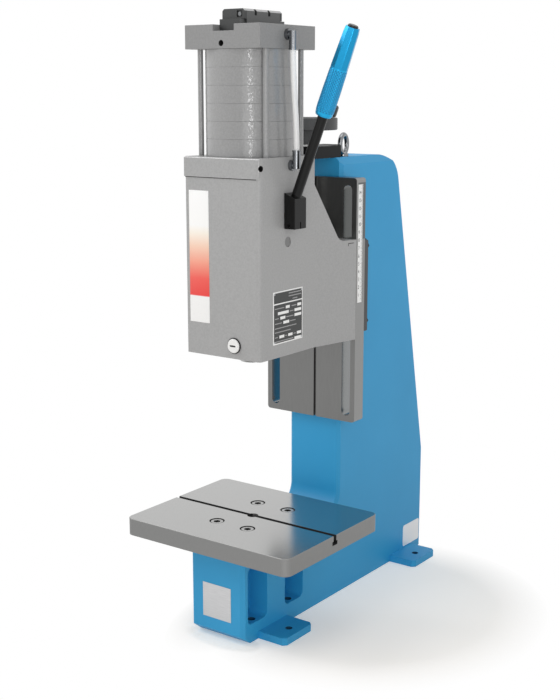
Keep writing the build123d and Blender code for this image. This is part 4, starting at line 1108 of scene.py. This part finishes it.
# Matt studio paper: a warm white that keeps a soft shadow
paper = new_finish(
    "white_studio_paper",
    Base_Color=colour("#f6f1ea"),
    Roughness=0.9,
    Specular_IOR_Level=0.1,
    Emission_Color=PURE_WHITE,
)
tree = paper.tree
seen = seen_rays(tree)
glow = add_node(tree, "ShaderNodeMapRange", {"To Min": 0.0, "To Max": FLOOR_GLOW}, {"Value": seen})
tree.links.new(glow.outputs["Result"], paper.shader.inputs["Emission Strength"])
away = add_node(tree, "ShaderNodeVectorMath", {"operation": "LENGTH"}, {0: paper.place})
fade = add_node(
    tree,
    "ShaderNodeMapRange",
    {"From Min": FADE_FROM, "From Max": FADE_TO},
    {"Value": away.outputs["Value"]},
)
nearest = None
for (x, y), (across, along) in SHADOW_PATCHES:
    patch = add_node(
        tree,
        "ShaderNodeMapping",
        {
            "Location": (-x / across, -y / along, 0),
            "Scale": (per_metre(across), per_metre(along), 0),
        },
        {"Vector": paper.place},
    )
    share = add_node(
        tree, "ShaderNodeVectorMath", {"operation": "LENGTH"}, {0: patch.outputs["Vector"]}
    )
    if nearest:
        share = add_node(
            tree,
            "ShaderNodeMath",
            {"operation": "MINIMUM"},
            {0: nearest.outputs["Value"], 1: share.outputs["Value"]},
        )
    nearest = share
outside = add_node(
    tree,
    "ShaderNodeMapRange",
    {"From Min": EDGE_FROM, "From Max": EDGE_TO},
    {"Value": nearest.outputs["Value"]},
)
outside_seen = add_node(
    tree, "ShaderNodeMath", {"operation": "MULTIPLY"}, {0: outside.outputs["Result"], 1: seen}
)
whiteness = add_node(
    tree,
    "ShaderNodeMath",
    {"operation": "MAXIMUM"},
    {0: fade.outputs["Result"], 1: outside_seen.outputs["Value"]},
)
white = add_node(tree, "ShaderNodeEmission", {"Color": PURE_WHITE, "Strength": 1.0})
mix = add_node(
    tree,
    "ShaderNodeMixShader",
    links={
        0: whiteness.outputs["Value"],
        1: paper.shader.outputs["BSDF"],
        2: white.outputs["Emission"],
    },
)
tree.links.new(mix.outputs["Shader"], tree.nodes["Material Output"].inputs["Surface"])
paint(studio_floor, paper.material)

# Light: white surroundings, weaker where they light than where they are seen, and soft lamps
WORLD_LIGHT = 0.36
world = bpy.data.worlds.new("studio")
bpy.context.scene.world = world
world.use_nodes = True
tree = world.node_tree
sky = tree.nodes["Background"]
strength = add_node(
    tree,
    "ShaderNodeMapRange",
    {"To Min": WORLD_LIGHT, "To Max": 1.0},
    {"Value": seen_rays(tree)},
)
tree.links.new(strength.outputs["Result"], sky.inputs["Strength"])
sky.inputs["Color"].default_value = PURE_WHITE


def lamp(name, place, target, size, power, tall=None):
    """Area lamp that looks at a point, in metres and watts: square, or a tall strip."""
    data = bpy.data.lights.new(name, "AREA")
    data.size = size
    if tall:
        data.shape = "RECTANGLE"
        data.size_y = tall
    data.energy = power
    light = bpy.data.objects.new(name, data)
    bpy.context.scene.collection.objects.link(light)
    light.location = place
    light.rotation_euler = (Vector(target) - Vector(place)).to_track_quat("-Z", "Y").to_euler()


lamp("key_softbox", place=(-1.55, -0.95, 2.0), target=(0, 0.1, 0.35), size=1.6, power=26)
lamp("fill_softbox", place=(1.9, -0.7, 1.3), target=(0, 0.1, 0.4), size=1.4, power=5.2)
lamp("strip_softbox", place=(1.23, -1.69, 0.85), target=(0, 0, 0.6), size=0.12, power=4.6, tall=1.5)
lamp("low_softbox", place=(0.9, -1.4, 0.4), target=(0, 0, 0.08), size=0.8, power=2.8)
lamp("top_softbox", place=(0.1, 0.4, 2.2), target=(0, 0.1, 0.3), size=1.2, power=6.4)

# Camera solved from the photograph
FOCAL_PX = 1228.37
IMAGE_HIGH_PX = 700
SENSOR_MM = 36
YAW = radians(35.95)
PITCH = radians(11.91)
CAMERA_PLACE = mm(897.82, -1179.27, 667.71)
camera_data = bpy.data.cameras.new("photo_camera")
camera_data.sensor_width = SENSOR_MM
camera_data.lens = FOCAL_PX * SENSOR_MM / IMAGE_HIGH_PX
camera = bpy.data.objects.new("photo_camera", camera_data)
bpy.context.scene.collection.objects.link(camera)
camera.location = CAMERA_PLACE
ahead = Vector((-sin(YAW) * cos(PITCH), cos(YAW) * cos(PITCH), -sin(PITCH)))
camera.rotation_euler = ahead.to_track_quat("-Z", "Y").to_euler()
bpy.context.scene.camera = camera
bpy.context.scene.view_settings.view_transform = "Standard"
